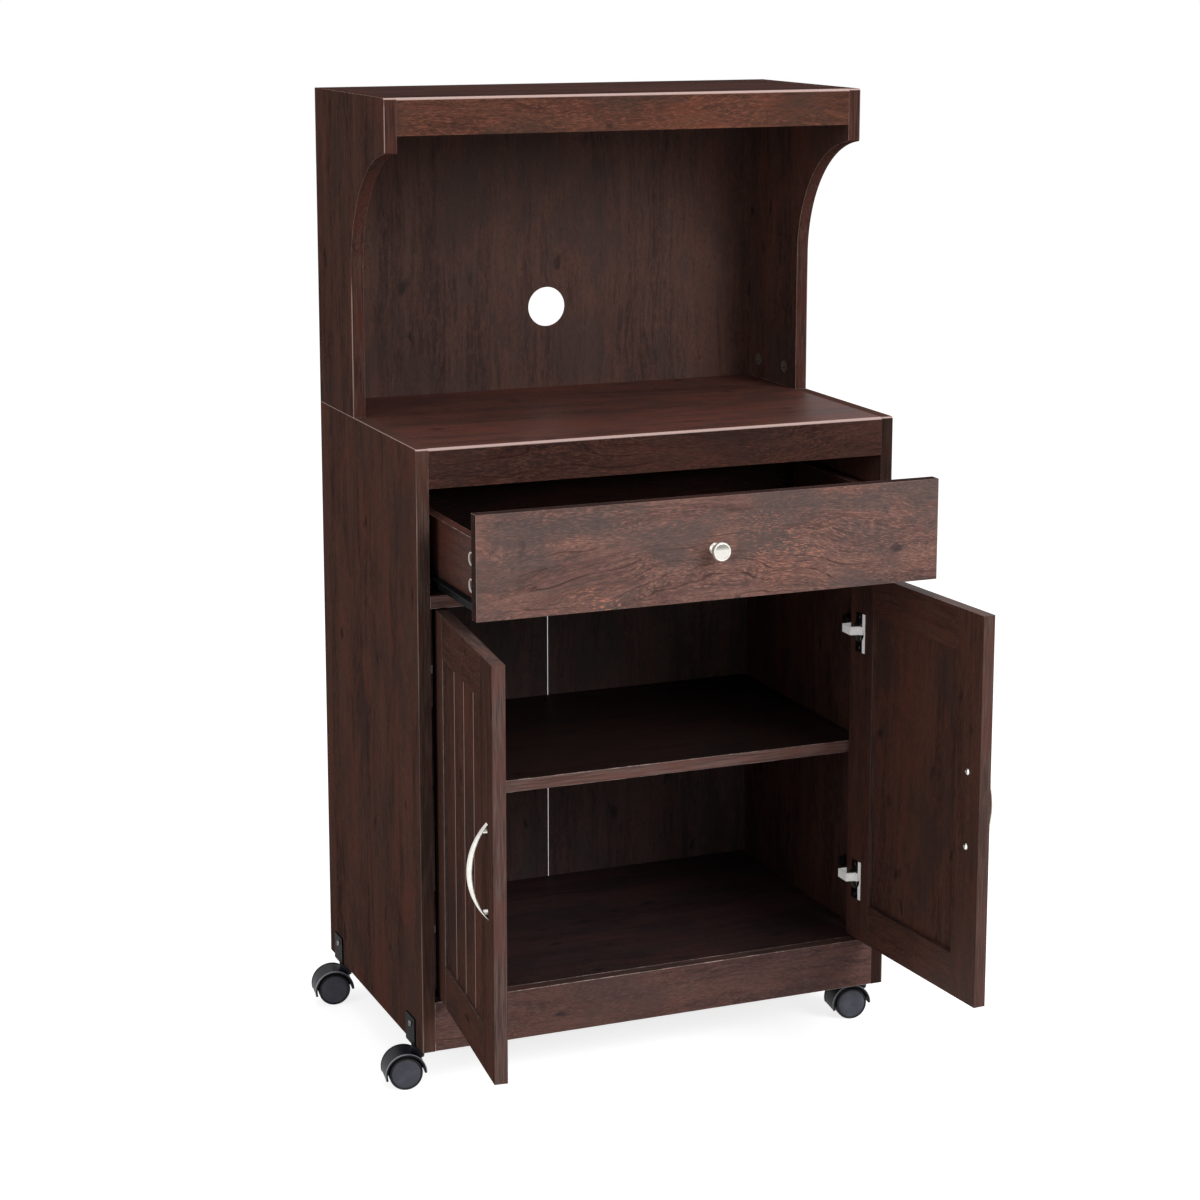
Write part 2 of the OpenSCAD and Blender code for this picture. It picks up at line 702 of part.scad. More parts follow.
// Places a door: the hinge pin's axis at x = y = 0, the door along +X, its outer face to -Y.
module at_door(side) cabinet() translate([side * pin_x, pin_back, 0]) rotate(open_angle(side))
    mirror([side > 0 ? 1 : 0, 0, 0]) children();

// The groove along the inside of a door's frame.
module panel_groove() block(
    [door_u0 + stile_w - tongue - groove_gap, panel_v0 - groove_gap,
     door_z + door_rail_h - tongue - groove_gap],
    [door_u1 - stile_w + tongue + groove_gap, panel_v0 + door_panel_t + groove_gap,
     door_z + door_h - door_rail_h + tongue + groove_gap]);

// The slot in a stile that the tongues of the rails go into.
module tongue_slot() block(
    [door_u0 + stile_w - tongue - groove_gap, panel_v0 - groove_gap, door_z - 1],
    [door_u1 - stile_w + tongue + groove_gap, panel_v0 + door_panel_t + groove_gap,
     door_z + door_h + 1]);

module door_stile_hinge(side) color(WOOD) at_door(side) difference() {
    block([door_u0, door_v0, door_z], [door_u0 + stile_w, door_v1, door_z + door_h]);
    tongue_slot();
    for (z = hinge_levels) bar_y([cup_u, door_v1 - cup_depth, z], cup_bore_d, cup_depth + 1);
}

module door_stile_free(side) color(WOOD) at_door(side) difference() {
    block([door_u1 - stile_w, door_v0, door_z], [door_u1, door_v1, door_z + door_h]);
    tongue_slot();
    for (s = [-1, 1]) bar_y([handle_u, door_v0 - 1, handle_z + s * handle_pitch / 2],
                            screw_bore_d, board_t + 2);
}

module door_rail(side, z0) color(WOOD_RED) at_door(side) difference() {
    union() {
        block([door_u0 + stile_w, door_v0, z0], [door_u1 - stile_w, door_v1, z0 + door_rail_h]);
        block([door_u0 + stile_w - tongue, panel_v0, z0],
              [door_u1 - stile_w + tongue, panel_v0 + door_panel_t, z0 + door_rail_h]);
    }
    panel_groove();
}

// The panel, with grooves in its outer face that divide it into boards.
module door_panel(side) color(WOOD) at_door(side) {
    u0 = door_u0 + stile_w;
    u1 = door_u1 - stile_w;
    pitch = (u1 - u0) / bead_boards;
    translate([0, 0, door_z + door_rail_h - tongue])
        linear_extrude(door_h - 2 * door_rail_h + 2 * tongue) difference() {
            translate([u0 - tongue, panel_v0])
                square([u1 - u0 + 2 * tongue, door_panel_t]);
            for (i = [1 : bead_boards - 1]) translate([u0 + i * pitch, panel_v0]) rotate(45)
                square(bead_depth * sqrt(2), center = true);
        }
}

// A bow handle: an arc that widens to its flat ends, with a boss for each screw beside them.
// Z along its length, -Y out of the door.
module bow_handle() difference() {
    union() {
        intersection() {
            rotate([90, 0, 90]) translate([0, 0, -handle_w / 2]) linear_extrude(handle_w)
                crescent();
            rotate([0, 90, 0]) translate([0, bow_centre(), 0]) rotate_extrude($fn = 180)
                translate([bow_r(), 0]) bow_edge();
        }
        for (s = [-1, 1]) bar_y([0, -handle_grip, s * handle_pitch / 2], handle_foot_d,
                                handle_grip);
    }
    for (s = [-1, 1]) bar_y([0, -handle_grip - 1, s * handle_pitch / 2], screw_bore_d,
                            handle_grip + 2);
}

function arc_r(half, rise) = (pow(half, 2) + pow(rise, 2)) / (2 * rise);
function bow_r() = arc_r(handle_len / 2, handle_reach);
function bow_centre() = bow_r() - handle_reach;
function inner_bow_r() = arc_r(handle_len / 2 - handle_end, handle_reach - handle_t);

module crescent() difference() {
    translate([bow_centre(), 0]) circle(bow_r(), $fn = 180);
    translate([inner_bow_r() - handle_reach + handle_t, 0]) circle(inner_bow_r(), $fn = 180);
    translate([0, -handle_len]) square([4 * handle_len, 2 * handle_len]);
}

// The section that rounds the bow's outer side: flat inside, with two long bevels outside.
module bow_edge() polygon([[-handle_reach, -handle_w / 2], [-1.6, -handle_w / 2],
                           [0, -handle_w / 8], [0, handle_w / 8],
                           [-1.6, handle_w / 2], [-handle_reach, handle_w / 2]]);

module door_handle(side) color(NICKEL) at_door(side)
    translate([handle_u, door_v0, handle_z]) bow_handle();

module handle_screws(side) color(ZINC) at_door(side) for (s = [-1, 1])
    translate([handle_u, door_v1, handle_z + s * handle_pitch / 2])
        face_screw(board_t + handle_grip);

// ---------------------------------------------------------------- hinges

// The cups, their flanges and screws, and the pins that the arms turn on.
module hinge_cups(side) color(NICKEL) at_door(side) for (z = hinge_levels) translate([0, 0, z]) {
    difference() {
        union() {
            bar_y([cup_u, door_v1 - cup_depth, 0], cup_d, cup_depth + cup_wall);
            hinge_flange();
        }
        bar_y([cup_u, door_v1 - cup_depth + cup_wall, 0], cup_d - 2 * cup_wall, cup_depth + 2);
    }
    bar_z([0, 0, -pin_half()], pin_d, 2 * pin_half());
    for (s = [-1, 1]) translate([cup_u, door_v1 + cup_wall, s * cup_screw_pitch / 2])
        rotate([-90, 0, 0]) cylinder(d = hinge_screw_d, h = cup_wall);
}

function pin_half() = sqrt(pow(cup_d / 2 - cup_wall / 2, 2) - pow(cup_u, 2));

module hinge_flange() block([cup_u + cup_d / 2 - flange_w, door_v1, -flange_h / 2],
                            [cup_u + cup_d / 2, door_v1 + cup_wall, flange_h / 2]);

// Places a hinge arm: the pin's axis at x = y = 0, as for a closed door.
module at_arm(side) cabinet() translate([side * pin_x, pin_back, 0])
    mirror([side > 0 ? 1 : 0, 0, 0]) children();

// The cranked arms with their knuckles, the mounting plates and their screws.
module hinge_arms(side) color(NICKEL) at_arm(side) for (z = hinge_levels) translate([0, 0, z]) {
    difference() {
        translate([0, 0, -arm_h / 2]) linear_extrude(arm_h) {
            circle(d = knuckle_d);
            arm_run([0, 0], elbow);
            arm_run(elbow, [elbow[0], arm_turn_v]);
            arm_run([elbow[0], arm_turn_v], [arm_root_u(), arm_turn_v]);
        }
        bar_z([0, 0, -arm_h], pin_d + 2 * run_gap, 2 * arm_h);
    }
    block([arm_root_u() - arm_root_w / 2, arm_turn_v - arm_t / 2, -arm_h / 2],
          [arm_root_u() + arm_root_w / 2, plate_v() + plate_len / 2 - plate_t, arm_h / 2]);
    for (s = [-1, 1])
        bar_x([arm_root_u() + arm_root_w / 2, plate_v() + plate_t + s * arm_screw_pitch / 2, 0],
              hinge_screw_d, hinge_screw_t);
    mounting_plate();
}

function plate_v() = plate_setback - pin_back;
function arm_root_u() = pin_x - inner_x + plate_t + arm_root_w / 2;

// A run of the arm's strip between two points, with rounded ends.
module arm_run(a, b) {
    d = b - a;
    translate(a) rotate(atan2(d[1], d[0])) translate([0, -arm_t / 2]) square([norm(d), arm_t]);
    translate(b) circle(d = arm_t);
}

module mounting_plate() {
    u0 = pin_x - inner_x;
    half_h = arm_h / 2 + 1;
    wing_h = plate_screw_pitch / 2 + hinge_screw_d;
    block([u0, plate_v() - plate_len / 2, -half_h], [u0 + plate_t, plate_v() + plate_len / 2, half_h]);
    block([u0, plate_v() - plate_wing_w / 2, -wing_h],
          [u0 + plate_t, plate_v() + plate_wing_w / 2, wing_h]);
    for (s = [-1, 1])
        bar_x([u0 + plate_t, plate_v(), s * plate_screw_pitch / 2], hinge_screw_d, hinge_screw_t);
}

// ---------------------------------------------------------------- nodes

side_panel(-1);  // side_panel_left
side_panel(1);  // side_panel_right
deck_panel();
deck_apron();
drawer_rail();
shelf();
bottom_panel();
kick_board();
base_back(-1);  // base_back_left
base_back(1);  // base_back_right
hutch_side(-1);  // hutch_side_left
hutch_side(1);  // hutch_side_right
hutch_top();
hutch_valance();
hutch_back();
cam_locks();
shelf_pins();
cabinet_runner(-1);  // cabinet_runner_left
cabinet_runner(1);  // cabinet_runner_right
hinge_arms(-1);  // hinge_arms_left
hinge_arms(1);  // hinge_arms_right
caster_brackets();
drawer_front();
drawer_side(-1);  // drawer_side_left
drawer_side(1);  // drawer_side_right
drawer_back();
drawer_bottom();
drawer_cams();
drawer_knob();
knob_screw();
drawer_runner(-1);  // drawer_runner_left
drawer_runner(1);  // drawer_runner_right
cabinet_roller(-1);  // cabinet_roller_left
cabinet_roller(1);  // cabinet_roller_right
drawer_roller(-1);  // drawer_roller_left
drawer_roller(1);  // drawer_roller_right
door_stile_hinge(-1);  // door_stile_hinge_left
door_stile_free(-1);  // door_stile_free_left
door_rail(-1, door_z + door_h - door_rail_h);  // door_rail_top_left
door_rail(-1, door_z);  // door_rail_bottom_left
door_panel(-1);  // door_panel_left
door_stile_hinge(1);  // door_stile_hinge_right
door_stile_free(1);  // door_stile_free_right
door_rail(1, door_z + door_h - door_rail_h);  // door_rail_top_right
door_rail(1, door_z);  // door_rail_bottom_right
door_panel(1);  // door_panel_right
door_handle(-1);  // door_handle_left
door_handle(1);  // door_handle_right
handle_screws(-1);  // handle_screws_left
handle_screws(1);  // handle_screws_right
hinge_cups(-1);  // hinge_cups_left
hinge_cups(1);  // hinge_cups_right
caster_hood(-1, 0);  // caster_hood_front_left
caster_hood(1, 0);  // caster_hood_front_right
caster_hood(-1, 1);  // caster_hood_back_left
caster_hood(1, 1);  // caster_hood_back_right
caster_wheels(-1, 0);  // caster_wheels_front_left
caster_wheels(1, 0);  // caster_wheels_front_right
caster_wheels(-1, 1);  // caster_wheels_back_left
caster_wheels(1, 1);  // caster_wheels_back_right
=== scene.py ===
"""Microwave cart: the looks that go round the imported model.

Everything is in metres in the model's own frame: X to the right, Y from the front to the back
and Z up from the floor. The boards, runners and brackets are the model's own solids with eased
edges and woodgrain finishes. The knob, the bow handles, the casters and the small hardware are
finer pieces that stand for the model's solids or sit on them.
"""

from __future__ import annotations

import json
import logging
import math
from dataclasses import dataclass, field
from enum import Enum
from typing import Callable, Optional, Sequence, Union

import bmesh
import bpy
from mathutils import Matrix, Vector

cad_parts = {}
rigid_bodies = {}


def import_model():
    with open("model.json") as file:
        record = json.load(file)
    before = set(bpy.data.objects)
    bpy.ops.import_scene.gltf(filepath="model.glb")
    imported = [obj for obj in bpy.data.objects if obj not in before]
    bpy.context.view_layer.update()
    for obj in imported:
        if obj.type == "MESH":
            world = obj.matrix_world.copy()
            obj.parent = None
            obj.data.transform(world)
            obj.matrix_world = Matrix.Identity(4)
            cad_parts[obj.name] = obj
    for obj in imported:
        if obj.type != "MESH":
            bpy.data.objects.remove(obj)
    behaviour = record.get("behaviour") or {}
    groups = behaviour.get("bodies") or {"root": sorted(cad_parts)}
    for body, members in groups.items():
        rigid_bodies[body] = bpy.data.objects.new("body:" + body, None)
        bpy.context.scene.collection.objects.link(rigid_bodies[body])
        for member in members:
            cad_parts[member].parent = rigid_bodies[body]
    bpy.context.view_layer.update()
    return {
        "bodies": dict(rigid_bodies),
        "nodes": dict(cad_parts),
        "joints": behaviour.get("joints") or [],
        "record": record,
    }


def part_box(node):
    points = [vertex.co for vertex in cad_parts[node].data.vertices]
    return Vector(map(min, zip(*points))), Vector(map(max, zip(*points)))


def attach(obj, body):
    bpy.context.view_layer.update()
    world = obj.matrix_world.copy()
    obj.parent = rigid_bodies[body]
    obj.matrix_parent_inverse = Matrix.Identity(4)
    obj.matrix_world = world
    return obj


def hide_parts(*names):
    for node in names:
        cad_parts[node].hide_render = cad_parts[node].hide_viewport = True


LOG = logging.getLogger("cart")
MM = 0.001
SIDES = ("left", "right")
ROWS = ("front", "back")
MERGE = 1e-6
WELD_GAP = 1e-5
FLAT_ANGLE = math.radians(0.5)
SHARP_ANGLE = math.radians(40)
EASE_STEPS = 2

Pair = tuple[float, float]
Four = tuple[float, float, float, float]
Colour = Four
Value = Union[float, Sequence[float], "Signal"]


def tint(code: str) -> Colour:
    """Turns a screen colour into the linear colour that a shader takes.

    Args:
        code: six hexadecimal digits, red first.

    Returns:
        The linear colour, opaque.
    """
    parts = [int(code[i:i + 2], 16) / 255 for i in (0, 2, 4)]
    linear = [c / 12.92 if c <= 0.04045 else ((c + 0.055) / 1.055) ** 2.4 for c in parts]
    return (*linear, 1.0)


def grey(value: float) -> Colour:
    """An even grey, as a linear colour."""
    return (value, value, value, 1.0)


# ---- shader maths


def _maths(operation: str, swapped: bool = False) -> Callable[..., "Signal"]:
    """Makes an operator of Signal.

    Args:
        operation: what its Math node does.
        swapped: whether the signal is the node's second value.

    Returns:
        The operator.
    """
    def operator(self: "Signal", other: Value = 0.0) -> "Signal":
        """This signal and a value, put through a Math node."""
        first, second = (other, self) if swapped else (self, other)
        return self.graph.node("ShaderNodeMath", {0: first, 1: second}, operation=operation)

    return operator


@dataclass(frozen=True, eq=False)
class Signal:
    """One output of a material's nodes, which takes part in Python arithmetic."""

    graph: "Graph"
    socket: bpy.types.NodeSocket

    __add__ = __radd__ = _maths("ADD")
    __sub__ = _maths("SUBTRACT")
    __rsub__ = _maths("SUBTRACT", swapped=True)
    __mul__ = __rmul__ = _maths("MULTIPLY")
    __mod__ = _maths("FLOORED_MODULO")
    __abs__ = _maths("ABSOLUTE")

    def pick(self, output: str) -> "Signal":
        """Another output of the node that this comes from."""
        return Signal(self.graph, self.socket.node.outputs[output])


class Graph:
    """The nodes of one material, with its main shader and its output."""

    def __init__(self, name: str) -> None:
        """Starts a material of that name with a Principled shader."""
        self.material = bpy.data.materials.new(name)
        self.material.use_nodes = True
        self.nodes = self.material.node_tree.nodes
        self.links = self.material.node_tree.links
        self.nodes.clear()
        self.end = self.nodes.new("ShaderNodeOutputMaterial")
        self.shader = self.nodes.new("ShaderNodeBsdfPrincipled")
        self.links.new(self.shader.outputs[0], self.end.inputs["Surface"])

    def node(self, kind: str, values: dict, output: Union[int, str] = 0,
             **settings: str) -> Signal:
        """Adds a node.

        Args:
            kind: the node's type.
            values: what goes into its sockets: numbers, colours or signals.
            output: the output that is wanted.
            settings: its properties, which are set first.

        Returns:
            The signal of that output.
        """
        made = self.nodes.new(kind)
        for key, value in settings.items():
            setattr(made, key, value)
        for key, value in values.items():
            self.feed(made.inputs[key], value)
        return Signal(self, made.outputs[output])

    def feed(self, socket: bpy.types.NodeSocket, value: Value) -> None:
        """Links a signal to a socket, or sets its value."""
        if isinstance(value, Signal):
            self.links.new(value.socket, socket)
        else:
            socket.default_value = value

    def set(self, **values: Value) -> None:
        """Feeds the main shader: base_color stands for Base Color, and so on."""
        for key, value in values.items():
            name = " ".join(w.upper() if w == "ior" else w.capitalize() for w in key.split("_"))
            self.feed(self.shader.inputs[name], value)

    def place(self) -> Signal:
        """The point on the object."""
        return self.node("ShaderNodeTexCoord", {}, "Object")

    def turned(self, at: Signal, turn: Sequence[float], shift: Sequence[float]) -> Signal:
        """A point turned round the origin and then moved."""
        return self.node("ShaderNodeMapping", {"Vector": at, "Rotation": turn, "Location": shift},
                         vector_type="POINT")

    def vector(self, operation: str, first: Value, second: Value,
               output: Union[int, str] = 0) -> Signal:
        """Adds one Vector Math node for two vectors."""
        return self.node("ShaderNodeVectorMath", {0: first, 1: second}, output,
                         operation=operation)

    def axis(self, at: Signal, name: str) -> Signal:
        """One coordinate of a point."""
        return self.node("ShaderNodeSeparateXYZ", {0: at}, name)

    def along(self, at: Signal, way: Vector) -> Signal:
        """How far along a direction a point lies."""
        return self.vector("DOT_PRODUCT", at, tuple(way), "Value")

    def red(self, texture: Signal) -> Signal:
        """The red of a texture's colour, from which Green and Blue can be picked."""
        return self.node("ShaderNodeSeparateColor", {0: texture.pick("Color")})

    def strayed(self, at: Signal, texture: Signal, reach: Sequence[float]) -> Signal:
        """A point moved by a texture's colour less its middle grey, times a reach on each axis."""
        stray = self.vector("SUBTRACT", texture.pick("Color"), (0.5, 0.5, 0.5))
        return self.vector("ADD", at, self.vector("MULTIPLY", stray, reach))

    def noise(self, at: Signal, scale: Union[float, Sequence[float]], detail: float = 2.0,
              rough: float = 0.6) -> Signal:
        """Smooth noise from 0 to 1, with one scale for all axes or one for each."""
        scales = (scale,) * 3 if isinstance(scale, (int, float)) else tuple(scale)
        return self.node("ShaderNodeTexNoise",
                         {"Vector": self.vector("MULTIPLY", at, scales), "Scale": 1.0,
                          "Detail": detail, "Roughness": rough}, noise_dimensions="3D")

    def layer(self, at: Signal, layer: "Layer", weave: float = 1.0) -> Signal:
        """The noise of one layer of woodgrain, with its scale across the grain times the weave."""
        across = layer.across * weave
        return self.noise(at, (across, across, layer.along), layer.detail, layer.rough)

    def step(self, value: Signal, low: float, high: float) -> Signal:
        """A soft step: 0 up to low and 1 from high, or the other way round."""
        ends = (0.0, 1.0) if low < high else (1.0, 0.0)
        return self.node("ShaderNodeMapRange",
                         {"Value": value, "From Min": min(low, high), "From Max": max(low, high),
                          "To Min": ends[0], "To Max": ends[1]}, interpolation_type="SMOOTHSTEP")

    def mixed(self, share: Value, first: Value, second: Value) -> Signal:
        """Two colours mixed."""
        return self.node("ShaderNodeMix", {0: share, 6: first, 7: second}, 2, data_type="RGBA")

    def bump(self, height: Signal, strength: float, depth: float) -> None:
        """Gives the main shader a relief."""
        self.set(normal=self.node("ShaderNodeBump", {"Height": height, "Strength": strength,
                                                     "Distance": depth}))


# ---- finishes


class Grain(Enum):
    """The way the printed grain runs; the value turns that axis into Z."""

    UP = (0.0, 0.0, 0.0)
    ACROSS = (0.0, math.pi / 2, 0.0)
    DEEP = (math.pi / 2, 0.0, 0.0)


class Tone(Enum):
    """What a foil's red, green and blue are multiplied by in one part of its grain."""

    DARK = (0.56, 0.55, 0.60)
    DEEP = (0.34, 0.32, 0.34)
    PALE = (1.26, 1.16, 1.12)
    RED = (1.65, 1.06, 0.96)
    BUFF = (1.42, 1.12, 1.05)
    SPECK = (1.55, 1.32, 1.25)
    SMOKE = (0.70, 0.84, 0.92)
    STROKE = (2.05, 1.66, 1.50)
    FLECK = (3.00, 1.95, 1.50)
    KNOT = (0.34, 0.44, 0.52)
    # The painted shadow beside a groove.
    GROOVE_SHADOW = (0.40, 0.40, 0.40)
    BAND_LOW = (0.68, 0.66, 0.68)
    BAND_HIGH = (1.22, 1.22, 1.22)
    BAND_RED = (1.15, 0.78, 0.74)
    BAND_DARK = (0.50, 0.50, 0.55)


def toned(code: str, tone: Tone) -> Colour:
    """A screen colour in one part of the grain, as a linear colour."""
    return (*(min(c * by, 1.0) for c, by in zip(tint(code), tone.value)), 1.0)


@dataclass(frozen=True)
class Layer:
    """One noise of the grain, scaled across the grain and along it."""

    across: float
    along: float
    detail: float = 2.0
    rough: float = 0.6


DRIFT = Layer(9, 3.6, rough=0.45)
RIPPLE = Layer(34, 13, 1.0, 0.5)
BAND = Layer(60, 1.8)
STREAK = Layer(85, 14, 3.0)
STRAND = Layer(230, 12)
MOTTLE = Layer(260, 48, 3.0, 0.65)
FIBRE = Layer(980, 115)
SPECK = Layer(430, 170, 3.0, 0.7)
CLOUD = Layer(13, 3.0, 3.0)
HAZE = Layer(14, 7.0, 4.0, 0.62)
PATCH = Layer(10, 5.0, 3.0, 0.5)
EDGE_DRIFT = Layer(40, 12, 4.0, 0.65)
EDGE_LINE = Layer(520, 20)

SEED_STEP = (1.37, 0.83, 2.11)
SWAY, RIPPLE_REACH = 0.085, (0.007, 0.007, 0.0)
KNOT_REACH, KNOT_SCALE = (0.03, 0.03, 0.07), (5.0, 5.0, 3.0)
RING_PITCH = 74.0
RIM_CAP, RIM_LINE, ARRIS_LINE = "5b4039", "b89d94", "b59b91"
# The first colour is that of the painted highlight along rounded front edges.
EDGE_HIGHLIGHT, GROOVE_LINE = "c4a9a2", "a98f87"
BARE_BOARD = ("6b4a34", "86634a")


@dataclass(frozen=True)
class Band:
    """Where a board's edges are: away from both of its faces, across its thickness."""

    across: Vector
    low: float
    high: float
    tone: str


@dataclass(frozen=True)
class Finish:
    """One finish of the cart, which sets up the nodes of its own material."""

    name: str

    def make(self) -> bpy.types.Material:
        """Builds the material."""
        g = Graph(self.name)
        self.paint(g, g.place())
        return g.material

    def paint(self, g: Graph, at: Signal) -> None:
        """Sets up the nodes of a graph, from the point on the object."""
        raise NotImplementedError


@dataclass(frozen=True)
class Point:
    """A point on a board: as it lies, its coordinates, with Z along the grain, and its cloud."""

    spot: Signal
    x: Signal
    y: Signal
    z: Signal
    at: Signal
    cloud: Signal


@dataclass(frozen=True)
class Laminate(Finish):
    """Woodgrain foil on board.

    Every layer of the grain lies along one flow: straight over most of a board, and bent into
    arches and eddies where the figure is strong. Smoke is the share of its grey clouds, warmth
    that of its red streaks, fibres the strength of its short strokes, and weave how fine its
    streaks are across the grain. Shine and rough belong to its gloss.

    Band is the pale edge. The highlight edge is the y and z of a rounded front edge that the foil
    is drawn round, along which a highlight is painted; rim is the x and z of a side's top edge,
    and each arris the x, y, lowest z and highest z of an upright edge. Grooves holds a door's
    frame, how deep its panel's grooves are and where they lie along it. Behind the y of
    raw_behind, the board is bare.
    """

    tone: str
    grain: Grain
    seed: float
    figure: float = 0.5
    warmth: float = 0.5
    smoke: float = 0.5
    fibres: float = 0.5
    shine: float = 0.03
    rough: float = 0.46
    band: Optional[Band] = None
    # Where a highlight is painted along a rounded front edge.
    highlight_edge: Optional[Pair] = None
    rim: Optional[Pair] = None
    arrises: tuple[Four, ...] = ()
    weave: float = 1.0
    grooves: Optional[tuple[Matrix, float, tuple[float, ...]]] = None
    raw_behind: Optional[float] = None

    def paint(self, g: Graph, at: Signal) -> None:
        """Lays the grain's parts over each other, and then what the board's edges show."""
        spot, at = at, g.turned(at, self.grain.value, tuple(step * self.seed for step in SEED_STEP))
        ripple = g.layer(at, RIPPLE)
        sway = SWAY * self.figure
        flow = g.strayed(at, g.layer(at, DRIFT), (sway, sway, 0.0))
        flow = g.strayed(flow, ripple, RIPPLE_REACH)
        band, streak, strand, mottle = (g.layer(flow, layer, self.weave)
                                        for layer in (BAND, STREAK, STRAND, MOTTLE))
        fibre, speck = (g.layer(flow, layer) for layer in (FIBRE, SPECK))
        cloud, haze = (g.layer(at, layer) for layer in (CLOUD, HAZE))
        patch = g.red(g.layer(at, PATCH))

        murk = g.step(haze + strand * 0.10, 0.53, 0.68) * self.smoke
        zone = g.step(patch + (strand - 0.5) * 0.2, 0.42, 0.58)
        stroke = g.step(fibre * 0.8 + strand * 0.2, 0.51, 0.62) * (1.0 - murk * 0.8)
        fleck = g.step(fibre, 0.56, 0.66) * g.step(patch.pick("Blue"), 0.63, 0.69)
        colour = g.mixed(g.step(band * 0.45 + strand * 0.30 + cloud * 0.45, 0.44, 0.72),
                         toned(self.tone, Tone.DARK), toned(self.tone, Tone.PALE))
        for share, tone in (
                (g.step(streak * 0.55 + cloud * 0.5, 0.50, 0.64) * self.warmth, Tone.RED),
                (g.step(mottle, 0.40, 0.62) * 0.5, Tone.BUFF),
                (g.step(speck, 0.54, 0.70) * 0.5, Tone.SPECK),
                (g.step(speck, 0.46, 0.30) * 0.6, Tone.DARK),
                (murk, Tone.SMOKE),
                (g.step(fibre, 0.46, 0.34) * (0.10 + 0.25 * self.fibres), Tone.DEEP),
                (stroke * (0.3 + 0.7 * zone) * self.fibres, Tone.STROKE),
                (fleck * self.fibres, Tone.FLECK),
                (self._rings(g, flow, band, patch.pick("Green")) * self.figure, Tone.DEEP),
                (self._knots(g, at, ripple, fibre), Tone.KNOT)):
            colour = g.mixed(share, colour, toned(self.tone, tone))

        x = g.axis(spot, "X")
        point = Point(spot, x, x.pick("Y"), x.pick("Z"), at, cloud)
        for wanted, draw in ((self.band, self._band), (self.highlight_edge, self._edge_highlight),
                             (self.rim, self._rim), (self.arrises, self._arrises),
                             (self.grooves, self._grooves), (self.raw_behind, self._bare)):
            if wanted:
                colour = draw(g, point, colour)
        g.set(base_color=colour, roughness=(fibre - 0.5) * 0.16 + (cloud - 0.5) * 0.1 + self.rough,
              specular_ior_level=self.shine)
        g.bump(fibre, 0.16, 0.0003)

    @staticmethod
    def _rings(g: Graph, flow: Signal, band: Signal, patch: Signal) -> Signal:
        """How far a point is on a thin dark growth line, in the places that the patch picks."""
        x = g.axis(flow, "X")
        ring = ((x + x.pick("Y")) * RING_PITCH + band * 1.6) % 1.0
        line = g.step(ring, 0.87, 0.94) * g.step(ring, 1.0, 0.96)
        return line * g.step(patch, 0.52, 0.64) * 0.75

    @staticmethod
    def _knots(g: Graph, at: Signal, ripple: Signal, fibre: Signal) -> Signal:
        """How far a point is in one of the few small smoky knots."""
        spot = g.strayed(at, ripple, KNOT_REACH)
        cell = g.node("ShaderNodeTexVoronoi", {"Vector": g.vector("MULTIPLY", spot, KNOT_SCALE)},
                      feature="F1")
        knot = g.step(cell + (fibre - 0.5) * 0.16, 0.19, 0.05)
        return knot * g.step(g.red(cell), 0.5, 0.55) * 0.8

    def _band(self, g: Graph, point: Point, colour: Signal) -> Signal:
        """Covers the board's edges with their own paler band."""
        band = self.band
        t = g.along(point.spot, band.across)
        edge = g.step(t, band.low + 0.0003, band.low + 0.0006)
        edge = edge * g.step(t, band.high - 0.0003, band.high - 0.0006)
        if self.rim:
            edge = edge * g.step(point.z, self.rim[1] - 0.0004, self.rim[1] - 0.0010)
        drift = g.layer(point.at, EDGE_DRIFT)
        pale = g.mixed(g.step(g.layer(point.at, EDGE_LINE), 0.38, 0.62),
                       toned(band.tone, Tone.BAND_LOW), toned(band.tone, Tone.BAND_HIGH))
        pale = g.mixed(g.step(drift, 0.46, 0.60) * 0.6, pale, toned(band.tone, Tone.BAND_RED))
        pale = g.mixed(g.step(drift, 0.46, 0.34) * 0.5, pale, toned(band.tone, Tone.BAND_DARK))
        return g.mixed(edge, colour, pale)

    def _rim(self, g: Graph, point: Point, colour: Signal) -> Signal:
        """Draws the light line along the top of a side's outer face, and the top itself."""
        x, z = self.rim
        cap = g.step(point.z, z - 0.0006, z - 0.0002)
        colour = g.mixed(cap * 0.6, colour, tint(RIM_CAP))
        line = g.step(abs(point.x - x), 0.0010, 0.0006) * g.step(point.z, z - 0.0009, z - 0.0005)
        return g.mixed(line * 0.8, colour, tint(RIM_LINE))

    def _arrises(self, g: Graph, point: Point, colour: Signal) -> Signal:
        """Draws thin light lines down the upright arrises, stronger where the cloud is light."""
        share = 0.15 + g.step(point.cloud, 0.4, 0.6) * 0.45
        for x, y, low, high in self.arrises:
            line = g.step(abs(point.x - x), 0.0012, 0.0007)
            line = line * g.step(abs(point.y - y), 0.0012, 0.0007)
            fade = low + 0.8 * (high - low)
            line = line * g.step(point.z, low - 0.001, low) * g.step(point.z, high, fade)
            colour = g.mixed(line * share, colour, tint(ARRIS_LINE))
        return colour

    def _edge_highlight(self, g: Graph, point: Point, colour: Signal) -> Signal:
        """Paints a highlight along the rounded front edge that the foil is drawn round."""
        y, z = self.highlight_edge
        edge = g.step(point.y, y + 0.0030, y + 0.0016) * g.step(point.z, z - 0.0024, z - 0.0012)
        return g.mixed(edge * 0.9, colour, tint(EDGE_HIGHLIGHT))

